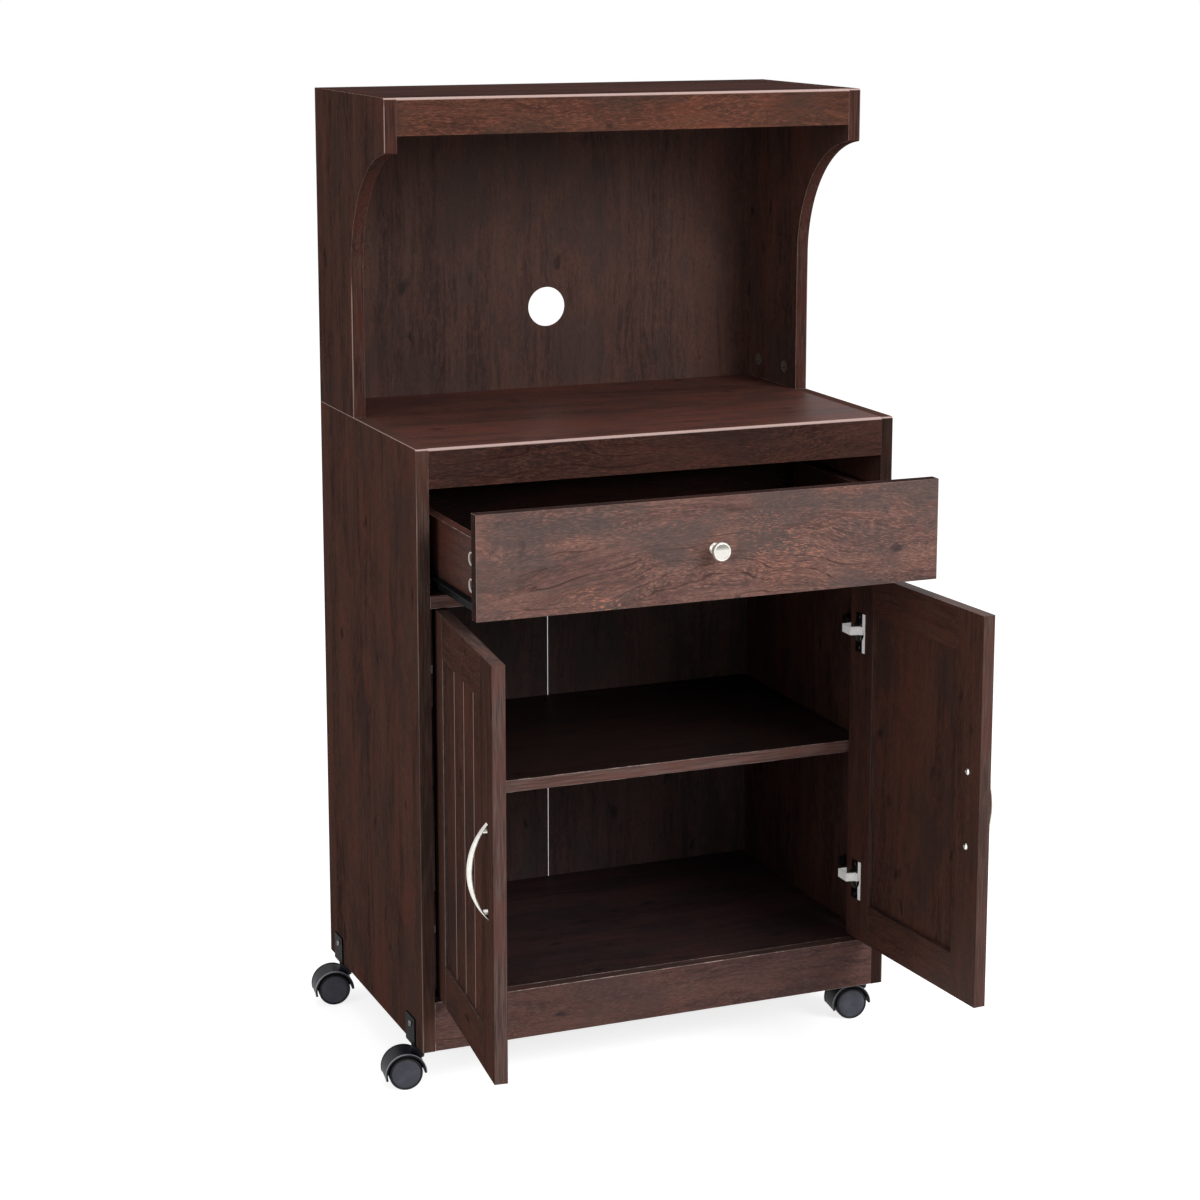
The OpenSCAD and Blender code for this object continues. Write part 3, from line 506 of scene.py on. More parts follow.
    def _grooves(self, g: Graph, point: Point, colour: Signal) -> Signal:
        """Lightens the foil in the grooves of a door's panel and paints a shadow just beyond each.
        """
        frame, depth, lines = self.grooves
        along, out = frame.col[0], frame.col[1]
        x, y = point.x - frame.translation.x, point.y - frame.translation.y
        face = g.step(x * out.x + y * out.y, depth, depth - 0.0004)
        u = x * along.x + y * along.y
        for place in lines:
            light = g.step(u, place - 0.0017, place - 0.0013) * g.step(u, place + 0.0003, place)
            colour = g.mixed(light * face * 0.85, colour, tint(GROOVE_LINE))
            # A painted shadow on the foil just beyond each groove.
            dark = g.step(u, place, place + 0.0004) * g.step(u, place + 0.0030, place + 0.0022)
            colour = g.mixed(dark * face * 0.6, colour, toned(self.tone, Tone.GROOVE_SHADOW))
        return colour

    def _bare(self, g: Graph, point: Point, colour: Signal) -> Signal:
        """Leaves the board bare behind the foil."""
        bare = g.step(point.y, self.raw_behind, self.raw_behind + 0.0004)
        chips = g.step(g.noise(point.spot, 420, 2.0, 0.7), 0.35, 0.65)
        return g.mixed(bare, colour, g.mixed(chips, *map(tint, BARE_BOARD)))


@dataclass(frozen=True)
class Lipping(Finish):
    """The eased edges of the foil, where its light core shows as a thin broken line."""

    core: str = "b59b93"
    worn: str = "5e463f"
    bare: Optional[Pair] = None

    def paint(self, g: Graph, at: Signal) -> None:
        """Shows the core where the foil is worn, and everywhere beyond the bare levels: at a side's
        top this is a painted highlight on the edges that face up, at its bottom the core's own
        line.
        """
        wear = g.noise(at, 48, 4.0, 0.7)
        shown = g.step(wear, 0.44, 0.62) * 0.7
        if self.bare:
            z = g.axis(at, "Z")
            for level, way in zip(self.bare, (-MM, MM)):
                shown = shown + g.step(z, level - way, level)
        g.set(base_color=g.mixed(shown, tint(self.worn), tint(self.core)),
              roughness=wear * 0.2 + 0.28)


@dataclass(frozen=True)
class Metal(Finish):
    """Plated metal with a fine brushed or cast grain."""

    colour: str
    shadow: str
    gloss: float
    brush: tuple[float, float, float] = (900.0, 900.0, 900.0)
    relief: float = 0.05
    # Levels between which a painted shade darkens the metal upwards.
    shade: Optional[Pair] = None
    metal: float = 1.0

    def paint(self, g: Graph, at: Signal) -> None:
        """Mixes the two tones, and paints shade that darkens them upwards between the levels of the
        shade.
        """
        fine = g.noise(at, self.brush)
        stain = g.noise(at, 45, 3.0)
        light = g.step(stain * 0.6 + fine * 0.4, 0.3, 0.6)
        if self.shade:
            height = g.axis(at, "Z") + (fine - 0.5) * 0.002
            light = light * 0.2 + 0.8 * g.step(height, *self.shade[::-1])
        g.set(base_color=g.mixed(light, tint(self.shadow), tint(self.colour)),
              roughness=fine * 0.14 + stain * 0.08 + self.gloss, metallic=self.metal)
        g.bump(fine, self.relief, 0.0002)


@dataclass(frozen=True)
class Moulding(Finish):
    """Moulded plastic or enamel with a fine leathery skin and rubbed high spots."""

    colour: str
    rubbed: str
    gloss: float
    skin: float = 1400.0
    relief: float = 0.12
    shine: float = 0.3

    def paint(self, g: Graph, at: Signal) -> None:
        """Mixes the colour and what is rubbed of it."""
        skin = g.noise(at, self.skin)
        dust = g.noise(at, 70, 3.0)
        g.set(base_color=g.mixed(g.step(dust, 0.42, 0.72), tint(self.colour), tint(self.rubbed)),
              roughness=(skin - 0.5) * 0.16 + dust * 0.1 + self.gloss,
              specular_ior_level=self.shine)
        g.bump(skin, self.relief, 0.0002)


@dataclass(frozen=True)
class Hinge(Finish):
    """Plated steel of a hinge cup: dark as a painted reflection where it mirrors the cupboard, and
    a glowing painted highlight beyond an edge.
    """

    frame: Matrix
    edge: float
    # How strongly the painted highlight glows.
    glow: float

    def paint(self, g: Graph, at: Signal) -> None:
        """Lays the painted highlight beyond the edge, along the hinge's own frame."""
        fine = g.noise(at, 700)
        stain = g.noise(at, 120, 3.0)
        along = self.frame.to_3x3().col[0]
        u = g.along(at, along) - along.dot(self.frame.translation)
        light = g.step(u + (stain - 0.5) * 0.0008, self.edge - 0.0004, self.edge + 0.0003)
        # The dark tones are a painted reflection of the cupboard; the light ones and their glow
        # beyond the edge are a painted highlight.
        plate = g.mixed(g.step(stain, 0.35, 0.65), tint("2a2826"), tint("5b5854"))
        bright = g.mixed(fine, tint("e6e3dc"), tint("ffffff"))
        g.set(base_color=g.mixed(light, plate, bright), metallic=(1.0 - light) * 0.9,
              roughness=fine * 0.12 + 0.2, emission_strength=1.0,
              emission_color=g.mixed(light, grey(0.0), grey(self.glow)))
        g.bump(fine, 0.05, 0.0002)


@dataclass(frozen=True)
class Look:
    """Two tones of steel, how metallic it is and how much it glows as a painted highlight."""

    shadow: str
    light: str
    metallic: float
    glow: float = 0.0


@dataclass(frozen=True)
class Parted(Finish):
    """Steel with one look up to a distance from a middle plane and another beyond it."""

    axis: str
    middle: float
    face: float
    near: Look
    far: Look

    def paint(self, g: Graph, at: Signal) -> None:
        """Mixes the two looks by the distance from the middle plane."""
        skin = g.noise(at, 1100)
        worn = g.noise(at, 90, 3.0)
        place = abs(g.axis(at, self.axis) - self.middle)
        out = g.step(place, self.face + 0.00005, self.face + 0.0002)
        share = g.step(worn * 0.6 + skin * 0.4, 0.38, 0.66)
        looks = (self.near, self.far)
        tones = [g.mixed(share, tint(look.shadow), tint(look.light)) for look in looks]
        glows = [grey(look.glow) for look in looks]
        g.set(base_color=g.mixed(out, *tones), emission_color=g.mixed(out, *glows),
              emission_strength=1.0,
              metallic=out * (self.far.metallic - self.near.metallic) + self.near.metallic,
              roughness=(skin - 0.5) * 0.2 + 0.4, specular_ior_level=0.02)
        g.bump(skin, 0.08, 0.0002)


@dataclass
class Finishes:
    """Every finish of the cart, made once and handed out by name."""

    made: dict[str, bpy.types.Material] = field(default_factory=dict)

    def get(self, finish: Finish) -> bpy.types.Material:
        """The material of a finish."""
        if finish.name not in self.made:
            self.made[finish.name] = finish.make()
        return self.made[finish.name]


LIPPING = Lipping("lipping")
NICKEL = Metal("nickel", "f0ece5", "d5d1c9", 0.24, metal=0.7)
BRIGHT = Metal("bright_steel", "f1efea", "d8d5cf", 0.24)
ZINC = Metal("zinc", "b4b3b0", "8f8e8c", 0.32)
BLACK_STEEL = Moulding("black_steel", "0c0c0e", "17171a", 0.42, 900.0, shine=0.03)
HOOD_BLACK = Moulding("hood_black", "1b1b20", "26262c", 0.4, shine=0.1)
# A lighter grey, painted as a highlight along the hoods' front rims.
HOOD_RIM_HIGHLIGHT = Moulding("hood_rim_highlight", "8d8d95", "a2a2aa", 0.4)
DISC_GREY = Moulding("disc_grey", "4a4a53", "56565f", 0.52, 1600.0, 0.2, 0.15)
TREAD_BLACK = Moulding("tread_black", "141416", "202024", 0.6)
NYLON = Moulding("nylon", "2a2a2c", "3a3a3c", 0.5)
CREAM = Moulding("cream_cover", "fbf3e6", "ece0cc", 0.45)
COVER_DARK = Moulding("cover_dark", "2c1f1b", "3a2a25", 0.5)


# ---- mesh tools


def mirrored(half: Sequence[Pair]) -> list[Pair]:
    """Half of a profile, below height 0, and its mirror image above."""
    return [*half, *((r, -z) for r, z in reversed(half))]


def linked(name: str, data: bpy.types.ID) -> bpy.types.Object:
    """A new object in the scene."""
    made = bpy.data.objects.new(name, data)
    bpy.context.scene.collection.objects.link(made)
    return made


class Shape:
    """A mesh that grows from bmesh operators."""

    def __init__(self) -> None:
        """Starts an empty mesh."""
        self.bm = bmesh.new()

    def lathe(self, profile: Sequence[Pair], steps: int, angle: float = 2 * math.pi,
              at: Optional[Matrix] = None, material: int = 0) -> "Shape":
        """Spins a profile round Z.

        Args:
            profile: radii and heights in millimetres, from one end to the other.
            steps: how many steps the spin has.
            angle: how far it turns; a part turn needs a closed profile.
            at: where the turned shape goes.
            material: the material's number on the new faces.

        Returns:
            This shape.
        """
        full = angle == 2 * math.pi
        kept = set(self.bm.verts)
        points = [self.bm.verts.new((r * MM, 0.0, z * MM)) for r, z in profile]
        edges = [self.bm.edges.new(pair) for pair in zip(points, points[1:])]
        seed: list = points + edges
        if not full:
            edges.append(self.bm.edges.new((points[-1], points[0])))
            seed = points + edges + [self.bm.faces.new(points)]
        bmesh.ops.spin(self.bm, geom=seed, axis=(0, 0, 1), cent=(0, 0, 0), steps=steps,
                       angle=angle, use_merge=full)
        bmesh.ops.remove_doubles(self.bm, verts=[v for v in self.bm.verts if v not in kept],
                                 dist=MERGE)
        made = [v for v in self.bm.verts if v not in kept]
        for face in {f for v in made for f in v.link_faces}:
            face.material_index = material
        if at is not None:
            bmesh.ops.transform(self.bm, matrix=at, verts=made)
        return self

    def sweep(self, frames: Sequence[Matrix], sides: int, power: float, at: Matrix) -> "Shape":
        """Draws a section through frames, each of which places and sizes it.

        Args:
            frames: matrices in metres, from one end to the other.
            sides: how many sides the section has.
            power: 2 for a round section, more for one with flatter sides.
            at: where the finished sweep goes.

        Returns:
            This shape.
        """
        ring = bmesh.ops.create_circle(self.bm, cap_ends=True, segments=sides,
                                       radius=1.0)["verts"]
        for v in ring:
            v.co *= (abs(v.co.x) ** power + abs(v.co.y) ** power) ** (-1 / power)
        bmesh.ops.transform(self.bm, matrix=frames[0], verts=ring)
        edges = list(self.bm.edges)
        for last, this in zip(frames, frames[1:]):
            grown = bmesh.ops.extrude_edge_only(self.bm, edges=edges)["geom"]
            ring = [v for v in grown if isinstance(v, bmesh.types.BMVert)]
            edges = [e for e in grown if isinstance(e, bmesh.types.BMEdge)]
            bmesh.ops.transform(self.bm, matrix=this @ last.inverted(), verts=ring)
        bmesh.ops.contextual_create(self.bm, geom=edges)
        bmesh.ops.transform(self.bm, matrix=at, verts=self.bm.verts)
        return self

    def cut(self, point: Vector, out: Vector) -> None:
        """Cuts off all that lies beyond a plane and closes the cut."""
        geom = [*self.bm.verts, *self.bm.edges, *self.bm.faces]
        cut = bmesh.ops.bisect_plane(self.bm, geom=geom, plane_co=point, plane_no=out,
                                     clear_outer=True)["geom_cut"]
        rims = [e for e in cut if isinstance(e, bmesh.types.BMEdge)]
        bmesh.ops.holes_fill(self.bm, edges=rims, sides=0)

    def place(self, name: str, body: str, slot: str, materials: Sequence[bpy.types.Material],
              replaces: str, smooth: float = 35.0) -> None:
        """Turns the shape into a piece of the cart.

        Args:
            name: the piece's name.
            body: the body that it moves with.
            slot: the record's slot that its finish comes from; it is not used.
            materials: its materials, in the order of their numbers.
            replaces: the model's solid that it stands for.
            smooth: edges flatter than this many degrees are shaded smooth.
        """
        bmesh.ops.recalc_face_normals(self.bm, faces=self.bm.faces)
        limit = math.radians(smooth)
        for face in self.bm.faces:
            face.smooth = True
        for edge in self.bm.edges:
            edge.smooth = len(edge.link_faces) == 2 and edge.calc_face_angle(0.0) < limit
        mesh = bpy.data.meshes.new(name)
        self.bm.to_mesh(mesh)
        self.bm.free()
        piece = linked(name, mesh)
        for material in materials:
            mesh.materials.append(material)
        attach(piece, body)
        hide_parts(replaces)
        LOG.info("%s rides on %s", name, body)


# ---- the sub-assemblies


@dataclass
class Assembly:
    """One sub-assembly of the cart, with the model's solids and the finishes that all share."""

    nodes: dict[str, bpy.types.Object]
    finishes: Finishes

    def looks(self, *finishes: Finish) -> list[bpy.types.Material]:
        """The materials of some finishes."""
        return [self.finishes.get(finish) for finish in finishes]

    def dress(self, name: str, *finishes: Finish, ease: float = 0.0) -> None:
        """Gives one of the model's own solids its finish and eased edges.

        Args:
            name: the solid's name.
            finishes: its finish, and a second one for its eased edges if they have their own.
            ease: the width of the eased edges in millimetres.
        """
        node = self.nodes[name]
        node.data.materials.clear()
        for material in self.looks(*finishes):
            node.data.materials.append(material)
        if ease:
            weld = node.modifiers.new("weld", "WELD")
            weld.merge_threshold = WELD_GAP
            flat = node.modifiers.new("flat", "DECIMATE")
            flat.decimate_type = "DISSOLVE"
            flat.angle_limit = FLAT_ANGLE
            edge = node.modifiers.new("edge", "BEVEL")
            edge.width = ease * MM
            edge.segments = EASE_STEPS
            edge.limit_method = "ANGLE"
            edge.angle_limit = SHARP_ANGLE
            edge.harden_normals = True
            edge.material = len(finishes) - 1
        LOG.info("%s is dressed", name)


@dataclass
class Board:
    """How one board is dressed; the grades are figure, warmth, smoke and fibres."""

    node: str
    tone: str
    seed: float
    grades: Four = (0.5, 0.5, 0.5, 0.4)
    shine: float = 0.03
    ease: float = 0.8
    axis: int = 2
    grain: Grain = Grain.ACROSS
    edge: str = "5a4742"
    # Whether a highlight is painted along the board's rounded front edge.
    highlight_edge: bool = False
    weave: float = 1.0


def side_board(node: str, seed: float, edge: str) -> Board:
    """How one of the four upright sides is dressed."""
    return Board(node, "4d3a34", seed, (0.4, 0.8, 0.5, 0.3), 0.0, axis=0, grain=Grain.UP,
                 edge=edge, weave=0.45)


@dataclass
class Cabinet(Assembly):
    """The boards of the base and the hutch, with the small hardware that holds them.

    A back's look is its tone and its grades of warmth and fibres.
    """

    bracket_t: float = 2.0
    hutch_back: tuple[str, float, float] = ("4b3a35", 0.4, 0.3)
    base_back: tuple[str, float, float] = ("4c403e", 0.25, 0.2)
    boards: tuple[Board, ...] = (
        side_board("side_panel_left", 1.0, "524039"),
        # The right side's edges are darker than the left's, a painted shade where the open door
        # shadows them.
        side_board("side_panel_right", 2.0, "352824"),
        Board("deck_panel", "523933", 3.0, (0.7, 0.8, 0.6, 0.6), 0.03, 0.0, highlight_edge=True),
        Board("deck_apron", "3f2c27", 4.0, (0.8, 0.5, 0.6, 0.9), 0.02, 0.0, 1, highlight_edge=True),
        Board("drawer_rail", "4f3833", 5.0, edge="6d524b"),
        # The shelf and the bottom are dark partly in their own tone and partly as painted shade
        # inside the cupboard.
        Board("shelf", "2e2422", 6.0, edge="6d5650"),
        Board("bottom_panel", "3c3030", 7.0),
        Board("kick_board", "574440", 8.0, (0.8, 0.3, 0.5, 0.6), 0.05, axis=1),
        side_board("hutch_side_left", 9.0, "4a332d"),
        side_board("hutch_side_right", 10.0, "4a332d"),
        Board("hutch_top", "453532", 11.0, (0.5, 0.4, 0.4, 0.3), 0.0, 0.0, highlight_edge=True),
        Board("hutch_valance", "54392f", 12.0, (0.7, 0.6, 0.8, 0.95), 0.02, 0.0, 1, highlight_edge=True),
    )

    def build(self) -> None:
        """Dresses the boards, the backs and the hardware."""
        (low, _), (_, high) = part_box("side_panel_left"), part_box("side_panel_right")
        seam, top = high.z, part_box("hutch_side_left")[1].z
        # A side's edges show their core in full at its bottom and top; at the top this is a painted
        # highlight where the edges face up.
        edges = {"side_panel": Lipping("lipping_base", "c9b0a8", "97827a", (0.0, seam)),
                 "hutch_side": Lipping("lipping_hutch", "bfa69e", "8f7870", (seam, top))}
        for board in self.boards:
            self._board(board, edges.get(board.node[:len("side_panel")], LIPPING))
        for name in ("hutch_back", "base_back_left", "base_back_right"):
            self._back(name)
        for name in ("cam_locks", "shelf_pins"):
            self.dress(name, ZINC)
        plate = Parted("bracket_steel", "X", (low.x + high.x) / 2,
                       (high.x - low.x) / 2 + self.bracket_t * MM,
                       Look("060607", "0e0d0f", 0.0), Look("2c2b2a", "a29f99", 0.5))
        self.dress("caster_brackets", plate, ease=0.25)

    def _board(self, board: Board, edge: Lipping) -> None:
        """Dresses one board."""
        low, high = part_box(board.node)
        upright = board.axis == 0
        x = low.x if board.node.endswith("left") else high.x
        across = Vector((0, 0, 0))
        across[board.axis] = 1
        band = Band(across, low[board.axis], high[board.axis], board.edge)
        # Boards with a rounded front edge, and the upright sides at their top front corner, get a
        # painted highlight there.
        foil = Laminate(f"foil_{board.node}", board.tone, board.grain, board.seed,
                        *board.grades, board.shine, band=None if board.highlight_edge else band,
                        highlight_edge=(low.y, high.z) if board.highlight_edge or upright else None,
                        rim=(x, high.z) if board.node.startswith("side_panel") else None,
                        arrises=self._arrises(board.node, x) if upright else (),
                        weave=board.weave)
        self.dress(board.node, foil, edge, ease=board.ease)

    def _arrises(self, name: str, x: float) -> tuple[Four, ...]:
        """The upright front edges of a side's outer face, below and above its cut-out if any."""
        low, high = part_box(name)
        points = [v.co for v in self.nodes[name].data.vertices]
        foot = min(v.y for v in points if v.z < low.z + MM)
        if foot <= low.y + MM:
            return ((x, foot, low.z, high.z),)
        bend = max(v.z for v in points if abs(v.y - foot) < MM / 10)
        nose = min(v.z for v in points if abs(v.y - low.y) < MM / 10)
        return (x, foot, low.z, bend), (x, low.y, nose, high.z)

    def _back(self, name: str) -> None:
        """Dresses one thin back, foiled inside and bare behind."""
        low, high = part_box(name)
        tone, warmth, fibres = self.hutch_back if name == "hutch_back" else self.base_back
        self.dress(name, Laminate(f"foil_{name}", tone, Grain.UP, 20.0 + low.x, 0.4, warmth, 0.6,
                                  fibres, raw_behind=(low.y + high.y) / 2))


@dataclass
class Drawer(Assembly):
    """The drawer's boards, its knob and its runners.

    The knob's profile is radii and heights, and its dish the radius and height within which its
    face is satin. The covers of the fasteners are cover_d wide, cover_t thick and dished.
    """

    knob_profile: tuple[Pair, ...] = (
        (0.0, 0.0), (6.4, 0.0), (6.8, 0.5), (6.8, 1.5), (6.2, 2.3), (5.0, 3.6), (4.5, 5.6),
        (4.6, 8.8), (5.2, 11.4), (6.8, 13.4), (9.2, 14.8), (10.6, 16.0), (10.9, 17.4),
        (10.8, 19.5), (10.4, 20.8), (9.9, 21.4), (9.3, 21.5), (8.8, 21.2), (8.4, 20.8),
        (4.4, 20.5), (0.0, 20.4))
    dish: Pair = (9.0, 20.3)
    cover_d: float = 15.0
    cover_t: float = 5.6
    cover_dish: float = 1.8

    def build(self) -> None:
        """Dresses and makes all of the drawer."""
        low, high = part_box("drawer_front")
        front = Laminate("foil_drawer_front", "6b5650", Grain.ACROSS, 31.0, 1.0, 0.2, 0.8, 0.95,
                         0.0, 0.42, Band(Vector((0, 1, 0)), low.y, high.y, "3e2f2c"))
        self.dress("drawer_front", front, Lipping("lipping_drawer", "b9a29c", "8a736c"), ease=0.6)
        for name in ("drawer_side_left", "drawer_side_right"):
            foil = Laminate(f"foil_{name}", "46302a", Grain.DEEP, 33.0, 0.4, 0.7, 0.6, 0.7)
            self.dress(name, foil, LIPPING, ease=0.5)
        back = Laminate("foil_drawer_back", "2a1d1a", Grain.ACROSS, 35.0, 0.4)
        self.dress("drawer_back", back, LIPPING, ease=0.5)
        self.dress("drawer_bottom",
                   Laminate("foil_drawer_bottom", "1d1514", Grain.ACROSS, 36.0, 0.3))
        self.dress("knob_screw", ZINC)
        for side in SIDES:
            for place in ("cabinet", "drawer"):
                self.dress(f"{place}_runner_{side}", BLACK_STEEL, ease=0.25)
                self.dress(f"{place}_roller_{side}", NYLON, ease=0.4)
        self._covers()
        self._knob()

    def _covers(self) -> None:
        """Makes the dished covers of the cams in the drawer's sides."""
        low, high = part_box("drawer_cams")
        r, depth = self.cover_d / 2, self.cover_t
        lip, sunk = (r - 1.0, depth - 0.3), (r - 1.0, depth - self.cover_dish)
        cup = ((0, 0), (r, 0), (r, depth - 0.3), (r - 0.3, depth), (r - 0.7, depth), lip, sunk)
        well = (sunk, (0, depth - self.cover_dish))
        shape = Shape()
        for x, way in ((low.x, -1), (high.x, 1)):
            for z in (low.z + r * MM, high.z - r * MM):
                at = (Matrix.Translation((x - way * depth * MM, (low.y + high.y) / 2, z))
                      @ Matrix.Rotation(way * math.pi / 2, 4, "Y"))
                shape.lathe(cup, 40, at=at)
                shape.lathe(well, 40, at=at, material=1)
        bmesh.ops.remove_doubles(shape.bm, verts=shape.bm.verts, dist=MERGE)
        shape.place("cam_covers", "drawer", "cover_plastic", self.looks(CREAM, COVER_DARK),
                    "drawer_cams")

    def _knob(self) -> None:
        """Makes the turned knob, with a satin face that a painted shade darkens upwards."""
        low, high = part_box("drawer_knob")
        x, z = (low.x + high.x) / 2, (low.z + high.z) / 2
        face = Metal("satin_face", "cfccc6", "74766f", 0.22, (300.0, 300.0, 1500.0), 0.1,
                     (z + 1.0 * MM, z + 5.5 * MM))
        shape = Shape().lathe(self.knob_profile, 72)
        for part in shape.bm.faces:
            middle = part.calc_center_median()
            if middle.z > self.dish[1] * MM and middle.xy.length < self.dish[0] * MM:
                part.material_index = 1
        at = Matrix.Translation((x, high.y, z)) @ Matrix.Rotation(math.pi / 2, 4, "X")
        bmesh.ops.transform(shape.bm, matrix=at, verts=shape.bm.verts)
        shape.place("knob", "drawer", "nickel", self.looks(NICKEL, face), "drawer_knob", 25)


@dataclass
class Door(Assembly):
    """One framed door with its handle and its hinges.

    In the door's own frame, thick says where its two faces lie and outer where its panel's face
    does. The hinges' flanges carry a painted highlight from flange_low along it, and the hinge
    arms a painted highlight up to crank_v from the pin with painted shade beyond; glow is how
    strongly these painted highlights glow. The handle is a bow, bow_t thick and bow_w wide at its
    middle, that flares in thickness and tapers in width towards its ends. It is drawn beyond them
    by the overrun, cut off end_t out of the door, and stays inside the solid by its insets.
    """

    side: str
    joint: dict
    tone: str = "4e3831"
    edge: str = "54403a"
    shine: float = 0.06
    glow: float = 0.2
    thick: Pair = (-9.0, 6.0)
    boards: int = 4
    outer: float = -3.0
    tongue: float = 8.0
    bow_t: float = 5.7
    bow_w: float = 8.0
    bow_power: float = 3.6
    bow_steps: int = 60
    flare: float = 0.8
    taper: float = 0.3
    overrun: float = 1.16
    foot_pitch: float = 93.0
    boss: tuple[Pair, ...] = (
        (0, 0), (2.4, 0), (2.5, 0.2), (2.5, 1.2), (2.3, 4.2), (0, 4.4))
    flange_low: float = 13.4
    crank_v: float = 23.6
    end_t: float = 2.8
    inset_y: float = 0.1
    inset_z: float = 0.2

    def build(self) -> None:
        """Dresses the door and makes its handle."""
        seed = 40.0 if self.side == "left" else 50.0
        edge = Lipping("lipping_door", "8a736b", "4a3934")
        stile = (Grain.UP, (0.4, 0.6, 0.4, 0.4), 0.7)
        rail = (Grain.DEEP, (0.7, 0.5, 0.5, 0.5), 0.5)
        for i, (name, (grain, grades, ease)) in enumerate((
                ("door_stile_hinge", stile), ("door_stile_free", stile),
                ("door_rail_top", rail), ("door_rail_bottom", rail))):
            foil = Laminate(f"foil_{name}_{self.side}", self.tone, grain, seed + i, *grades,
                            self.shine, band=self._edge())
            self.dress(f"{name}_{self.side}", foil, edge, ease=ease)
        foil = Laminate(f"foil_door_panel_{self.side}", self.tone, Grain.UP, seed + 5, 0.5,
                        0.95, 0.7, 0.6, self.shine, grooves=self._groove_lines())
        self.dress(f"door_panel_{self.side}", foil)
        cup = Hinge(f"hinge_cup_{self.side}", self._frame(), self.flange_low * MM, self.glow)
        # The arm is one steel, drawn as a painted highlight that glows near the pin and as painted
        # shade beyond crank_v.
        arm = Parted(f"hinge_arm_{self.side}", "Y", self.joint["pos_m"][1], self.crank_v * MM,
                     Look("dcd9d3", "f6f4f0", 0.0, self.glow), Look("1f1c1b", "4f4b48", 0.6))
        for name, finish in (("handle_screws", BRIGHT), ("hinge_cups", cup), ("hinge_arms", arm)):
            self.dress(f"{name}_{self.side}", finish, ease=0.2)
        self._handle()

    def _frame(self) -> Matrix:
        """The door's own frame: its pin at the origin, X along it and -Y out of it."""
        x, y, _ = self.joint["pos_m"]
        swing = math.radians(self.joint["range_deg"][0])
        if self.side == "left":
            return Matrix.Translation((x, y, 0)) @ Matrix.Rotation(swing, 4, "Z")
        return (Matrix.Translation((x, y, 0)) @ Matrix.Rotation(-swing, 4, "Z")
                @ Matrix.Scale(-1, 4, (1, 0, 0)))

    def _edge(self) -> Band:
        """Where the door's edges are, across its thickness."""
        frame = self._frame()
        out = frame.to_3x3().col[1]
        start = out.dot(frame.translation)
        return Band(out, start + self.thick[0] * MM, start + self.thick[1] * MM, self.edge)

    def _points(self, name: str) -> list[Vector]:
        """The corners of one of the door's solids, in the door's own frame."""
        inverse = self._frame().inverted()
        return [inverse @ v.co for v in self.nodes[f"{name}_{self.side}"].data.vertices]

    def _groove_lines(self) -> tuple[Matrix, float, tuple[float, ...]]:
        """The door's frame, and how deep and how far along it the panel's grooves run."""
        along = [p.x for p in self._points("door_panel")]
        first, last = min(along) + self.tongue * MM, max(along) - self.tongue * MM
        step = (last - first) / self.boards
        lines = tuple(first + step * i for i in range(self.boards + 1))
        return self._frame(), self.outer * MM, lines

    def _handle(self) -> None:
        """Makes the bow handle: an arc that flares to its flat ends, with two screw bosses."""
        low, high = ([pick(values) for values in zip(*self._points("door_handle"))]
                     for pick in (min, max))
        reach = high[1] - low[1] - self.inset_y * MM
        half = (high[2] - low[2]) / 2 - self.inset_z * MM
        at = self._frame() @ Matrix.Translation(((low[0] + high[0]) / 2, high[1],
                                                 (low[2] + high[2]) / 2))
        rise = reach - self.end_t * MM
        radius = (half * half + rise * rise) / (2 * rise)
        spread = math.asin(half / radius) * self.overrun
        frames = []
        for i in range(self.bow_steps + 1):
            t = -1 + 2 * i / self.bow_steps
            angle = spread * t
            thick = (self.bow_t / 2 + self.flare * abs(t) ** 3) * MM
            wide = (self.bow_w / 2 - self.taper * abs(t) ** 2) * MM
            out = radius * math.cos(angle) - radius + reach - thick * math.cos(angle)
            up = (radius - thick) * math.sin(angle)
            frames.append(Matrix.Translation((0, -out, up)) @ Matrix.Rotation(angle, 4, "X")
                          @ Matrix.Diagonal((wide, thick, 1, 1)))
        shape = Shape().sweep(frames, 28, self.bow_power, at)
        shape.cut(at.translation, at.to_3x3().col[1])
        for end in (-1, 1):
            shape.cut(at @ Vector((0, 0, end * half)), Vector((0, 0, end)))
        for end in (-1, 1):
            foot = (at @ Matrix.Translation((0, 0, end * self.foot_pitch / 2 * MM))
                    @ Matrix.Rotation(math.pi / 2, 4, "X"))
            shape.lathe(self.boss, 28, at=foot)
        shape.place(f"handle_{self.side}", f"door_{self.side}", "nickel", self.looks(NICKEL),
                    f"door_handle_{self.side}", 40)


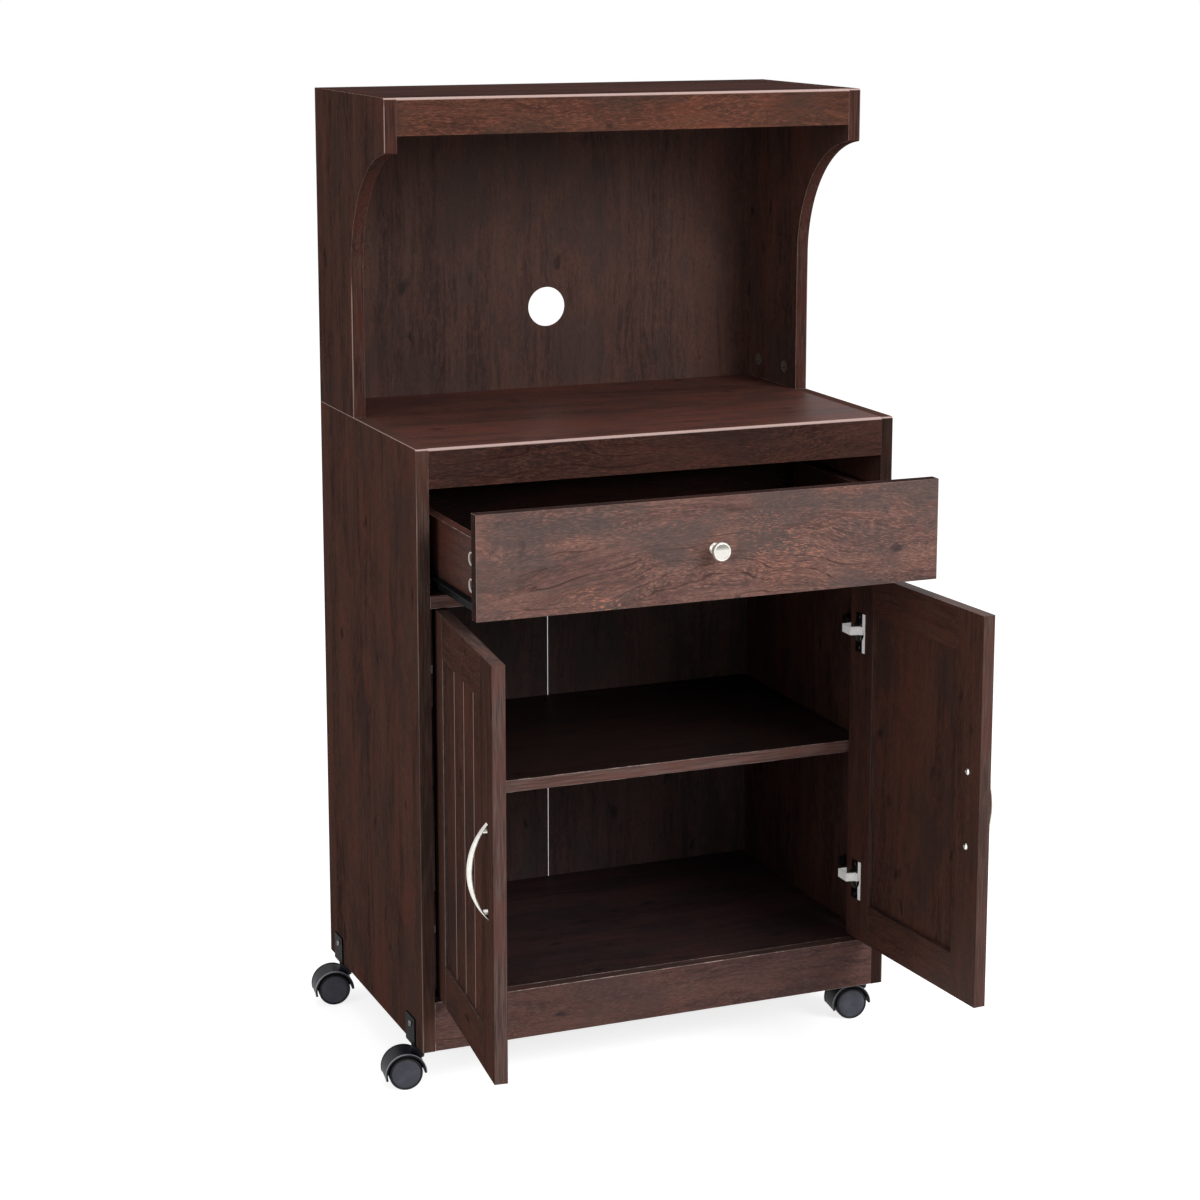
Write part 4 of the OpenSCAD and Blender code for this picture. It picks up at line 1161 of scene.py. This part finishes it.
@dataclass
class Caster(Assembly):
    """One hooded caster with two wheels.

    The hood reaches the lip below the axle at its back, and its collar ends at the height top,
    where the stem leaves it.
    """

    corner: str
    stem: Vector
    axle: Vector
    hood_r: float = 25.0
    hood_t: float = 3.0
    width: float = 35.0
    wheel_r: float = 20.0
    web: float = 6.0
    top: float = 53.0
    lip: float = 7.0
    stem_r: float = 4.0
    stem_l: float = 17.0
    axle_r: float = 2.5

    def _frame(self) -> Matrix:
        """The caster's own frame: the axle at the origin, X towards the stem."""
        ahead = Vector((self.stem.x - self.axle.x, self.stem.y - self.axle.y, 0)).normalized()
        turn = math.atan2(ahead.y, ahead.x)
        return Matrix.Translation(self.axle) @ Matrix.Rotation(turn, 4, "Z")

    def build(self) -> None:
        """Makes the hood and the wheels."""
        self._hood()
        self._wheels()

    def _hood(self) -> None:
        """Makes the hood's band with its rims, the web and the collar with its stem; the rims carry
        a painted highlight.
        """
        at = self._frame()
        half = self.width / 2
        outer, inner = self.hood_r, self.hood_r - self.hood_t
        band = mirrored(((inner, -half + 0.5), (inner + 0.5, -half), (outer - 0.9, -half),
                         (outer, -half + 1.0), (outer, -half + 1.7), (outer - 0.6, -half + 2.3)))
        lower = math.asin(self.lip / self.hood_r)
        level = at @ Matrix.Rotation(-math.pi / 2, 4, "X")
        turned = level @ Matrix.Rotation(-math.pi - lower, 4, "Z")
        shape = Shape().lathe(band, 44, math.pi + lower, turned)
        # The faces along the band's outer rims get the lighter grey of a painted highlight.
        back = turned.inverted()
        for part in shape.bm.faces:
            middle = back @ part.calc_center_median()
            beside = (half - 1.4) * MM < abs(middle.z) < (half - 0.1) * MM
            if beside and middle.xy.length > (outer - 0.62) * MM:
                part.material_index = 2
        web = mirrored(((0.0, -self.web / 2), (inner + 0.4, -self.web / 2)))
        shape.lathe(web, 40, math.pi * 0.98, level @ Matrix.Rotation(-math.pi * 0.99, 4, "Z"))
        trail = (self.stem - self.axle).xy.length / MM
        base = self.axle.z / MM
        stem_at = at @ Matrix.Translation((trail * MM, 0, -self.axle.z))
        lift = base + math.sqrt(max(inner ** 2 - (trail - 8) ** 2, 0)) + 1.0
        shape.lathe(((0, lift - 6), (7.4, lift - 6), (7.8, lift - 2), (8.0, self.top - 1.4),
                     (7.4, self.top - 0.35), (0, self.top - 0.35)), 36, at=stem_at)
        foot, head, r = self.top - 0.5, self.top + self.stem_l, self.stem_r
        shape.lathe(((0, foot), (r - 0.4, foot), (r, foot + 0.4), (r, head - 0.4),
                     (r - 0.4, head), (0, head)), 32, at=stem_at, material=1)
        place = self.corner
        shape.place(f"hood_{place}", f"swivel_{place}", "hood_plastic",
                    self.looks(HOOD_BLACK, ZINC, HOOD_RIM_HIGHLIGHT), f"caster_hood_{place}", 38)

    def _wheels(self) -> None:
        """Makes the two wheels: a tyre, a sunk ring and a shallow dome on each."""
        at = self._frame() @ Matrix.Rotation(math.pi / 2, 4, "X")
        shape = Shape()
        near = self.web / 2 + 0.3
        far = near + (self.width - self.web) / 2 - 1.1
        r = self.wheel_r
        for way in (1, -1):
            tyre = ((0, near), (r - 2.4, near), (r - 0.9, near + 0.4), (r, near + 1.4),
                    (r, far - 2.2), (r - 0.5, far - 0.9), (r - 1.6, far - 0.2),
                    (r - 2.2, far - 0.5), (r - 2.6, far - 1.3))
            disc = ((r - 2.6, far - 1.3), (r - 3.0, far - 0.6), (r - 3.8, far - 0.25),
                    (r * 0.5, far - 0.05), (0, far))
            flip = at @ Matrix.Scale(way, 4, (0, 0, 1))
            shape.lathe(tyre, 64, at=flip, material=1)
            shape.lathe(disc, 64, at=flip)
        axle = mirrored(((0, -near - 0.5), (self.axle_r, -near - 0.5)))
        shape.lathe(axle, 24, at=at, material=2)
        bmesh.ops.remove_doubles(shape.bm, verts=shape.bm.verts, dist=MERGE)
        place = self.corner
        shape.place(f"wheels_{place}", f"wheels_{place}", "wheel_plastic",
                    self.looks(DISC_GREY, TREAD_BLACK, ZINC), f"caster_wheels_{place}", 40)


# ---- the studio


@dataclass
class Lamp:
    """One soft square lamp."""

    name: str
    place: tuple[float, float, float]
    size: float
    power: float


@dataclass
class Studio:
    """The floor, the sky, the lamps and the camera."""

    aim: tuple[float, float, float] = (0.0, 0.0, 0.58)
    lamps: tuple[Lamp, ...] = (
        Lamp("key", (1.5, -3.2, 2.3), 1.8, 95.0),
        Lamp("fill", (-3.4, -1.6, 1.5), 2.2, 26.0),
        Lamp("top", (0.2, 0.3, 3.6), 1.8, 26.0),
    )
    sky: float = 0.42
    camera_at: tuple[float, float, float] = (-1.24268, -2.93563, 1.3105)
    yaw: float = -22.2
    pitch: float = -10.8
    focal: float = 2756.7 / 1200
    shift: float = -0.10
    sensor: float = 36.0
    floor_size: float = 14.0
    floor_grey: float = 0.62
    floor_glow: float = 0.79

    def build(self) -> None:
        """Sets up the whole studio."""
        self._view()
        self._sky()
        self._floor()
        for lamp in self.lamps:
            self._lamp(lamp)

    def _view(self) -> None:
        """Sets the plain colour view and the camera."""
        scene = bpy.context.scene
        scene.view_settings.view_transform = "Standard"
        data = bpy.data.cameras.new("camera")
        data.sensor_width = self.sensor
        data.lens = self.focal * self.sensor
        data.shift_y = self.shift
        data.clip_end = 60.0
        camera = linked("camera", data)
        yaw, pitch = math.radians(self.yaw), math.radians(self.pitch)
        ahead = Vector((-math.sin(yaw) * math.cos(pitch), math.cos(yaw) * math.cos(pitch),
                        math.sin(pitch)))
        camera.location = self.camera_at
        camera.rotation_euler = ahead.to_track_quat("-Z", "Y").to_euler()
        scene.camera = camera

    @staticmethod
    def _seen(tree: bpy.types.NodeTree) -> bpy.types.NodeSocket:
        """How far a ray shows the background: from the camera, off a gloss or through glass."""
        path = tree.nodes.new("ShaderNodeLightPath")
        seen = path.outputs["Is Camera Ray"]
        for name in ("Is Glossy Ray", "Is Transmission Ray"):
            either = tree.nodes.new("ShaderNodeMath")
            either.operation = "MAXIMUM"
            tree.links.new(seen, either.inputs[0])
            tree.links.new(path.outputs[name], either.inputs[1])
            seen = either.outputs[0]
        return seen

    def _sky(self) -> None:
        """Makes an even sky that looks white and lights the cart softly."""
        world = bpy.data.worlds.new("sky")
        bpy.context.scene.world = world
        world.use_nodes = True
        tree = world.node_tree
        back = tree.nodes["Background"]
        strength = tree.nodes.new("ShaderNodeMapRange")
        tree.links.new(self._seen(tree), strength.inputs["Value"])
        strength.inputs["To Min"].default_value = self.sky
        strength.inputs["To Max"].default_value = 1.0
        tree.links.new(strength.outputs[0], back.inputs["Strength"])
        back.inputs["Color"].default_value = (1, 1, 1, 1)

    def _floor(self) -> None:
        """Makes the pale floor, which keeps the cart's shadow."""
        bm = bmesh.new()
        bmesh.ops.create_grid(bm, x_segments=1, y_segments=1, size=self.floor_size)
        mesh = bpy.data.meshes.new("floor")
        bm.to_mesh(mesh)
        bm.free()
        floor = linked("floor", mesh)
        g = Graph("floor")
        g.set(base_color=grey(self.floor_grey), roughness=0.9, specular_ior_level=0.0)
        seen = Signal(g, self._seen(g.material.node_tree))
        glow = g.node("ShaderNodeEmission", {"Strength": seen * self.floor_glow})
        both = g.node("ShaderNodeAddShader", {0: Signal(g, g.shader.outputs[0]), 1: glow})
        g.feed(g.end.inputs["Surface"], both)
        mesh.materials.append(g.material)

    def _lamp(self, lamp: Lamp) -> None:
        """Makes one lamp that faces the cart."""
        data = bpy.data.lights.new(lamp.name, "AREA")
        data.size = lamp.size
        data.energy = lamp.power
        made = linked(lamp.name, data)
        made.location = lamp.place
        made.rotation_euler = (Vector(self.aim) - Vector(lamp.place)).to_track_quat(
            "-Z", "Y").to_euler()


# ---- the cart


def main() -> None:
    """Builds the cart's looks round the model, and the studio."""
    logging.basicConfig(level=logging.INFO, format="%(name)s: %(message)s")
    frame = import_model()
    shared = (frame["nodes"], Finishes())
    joints = {joint["name"]: joint for joint in frame["joints"]}
    Cabinet(*shared).build()
    Drawer(*shared).build()
    Door(*shared, "left", joints["door_left_hinge"], "4a3731", "5e4c47", 0.0, glow=0.0).build()
    Door(*shared, "right", joints["door_right_hinge"]).build()
    for side in SIDES:
        for row in ROWS:
            corner = f"{row}_{side}"
            stem, axle = (Vector(joints[f"{name}_{corner}"]["pos_m"])
                          for name in ("swivel", "wheels"))
            Caster(*shared, corner, stem, axle).build()
    Studio().build()


if __name__ == "__main__":
    main()
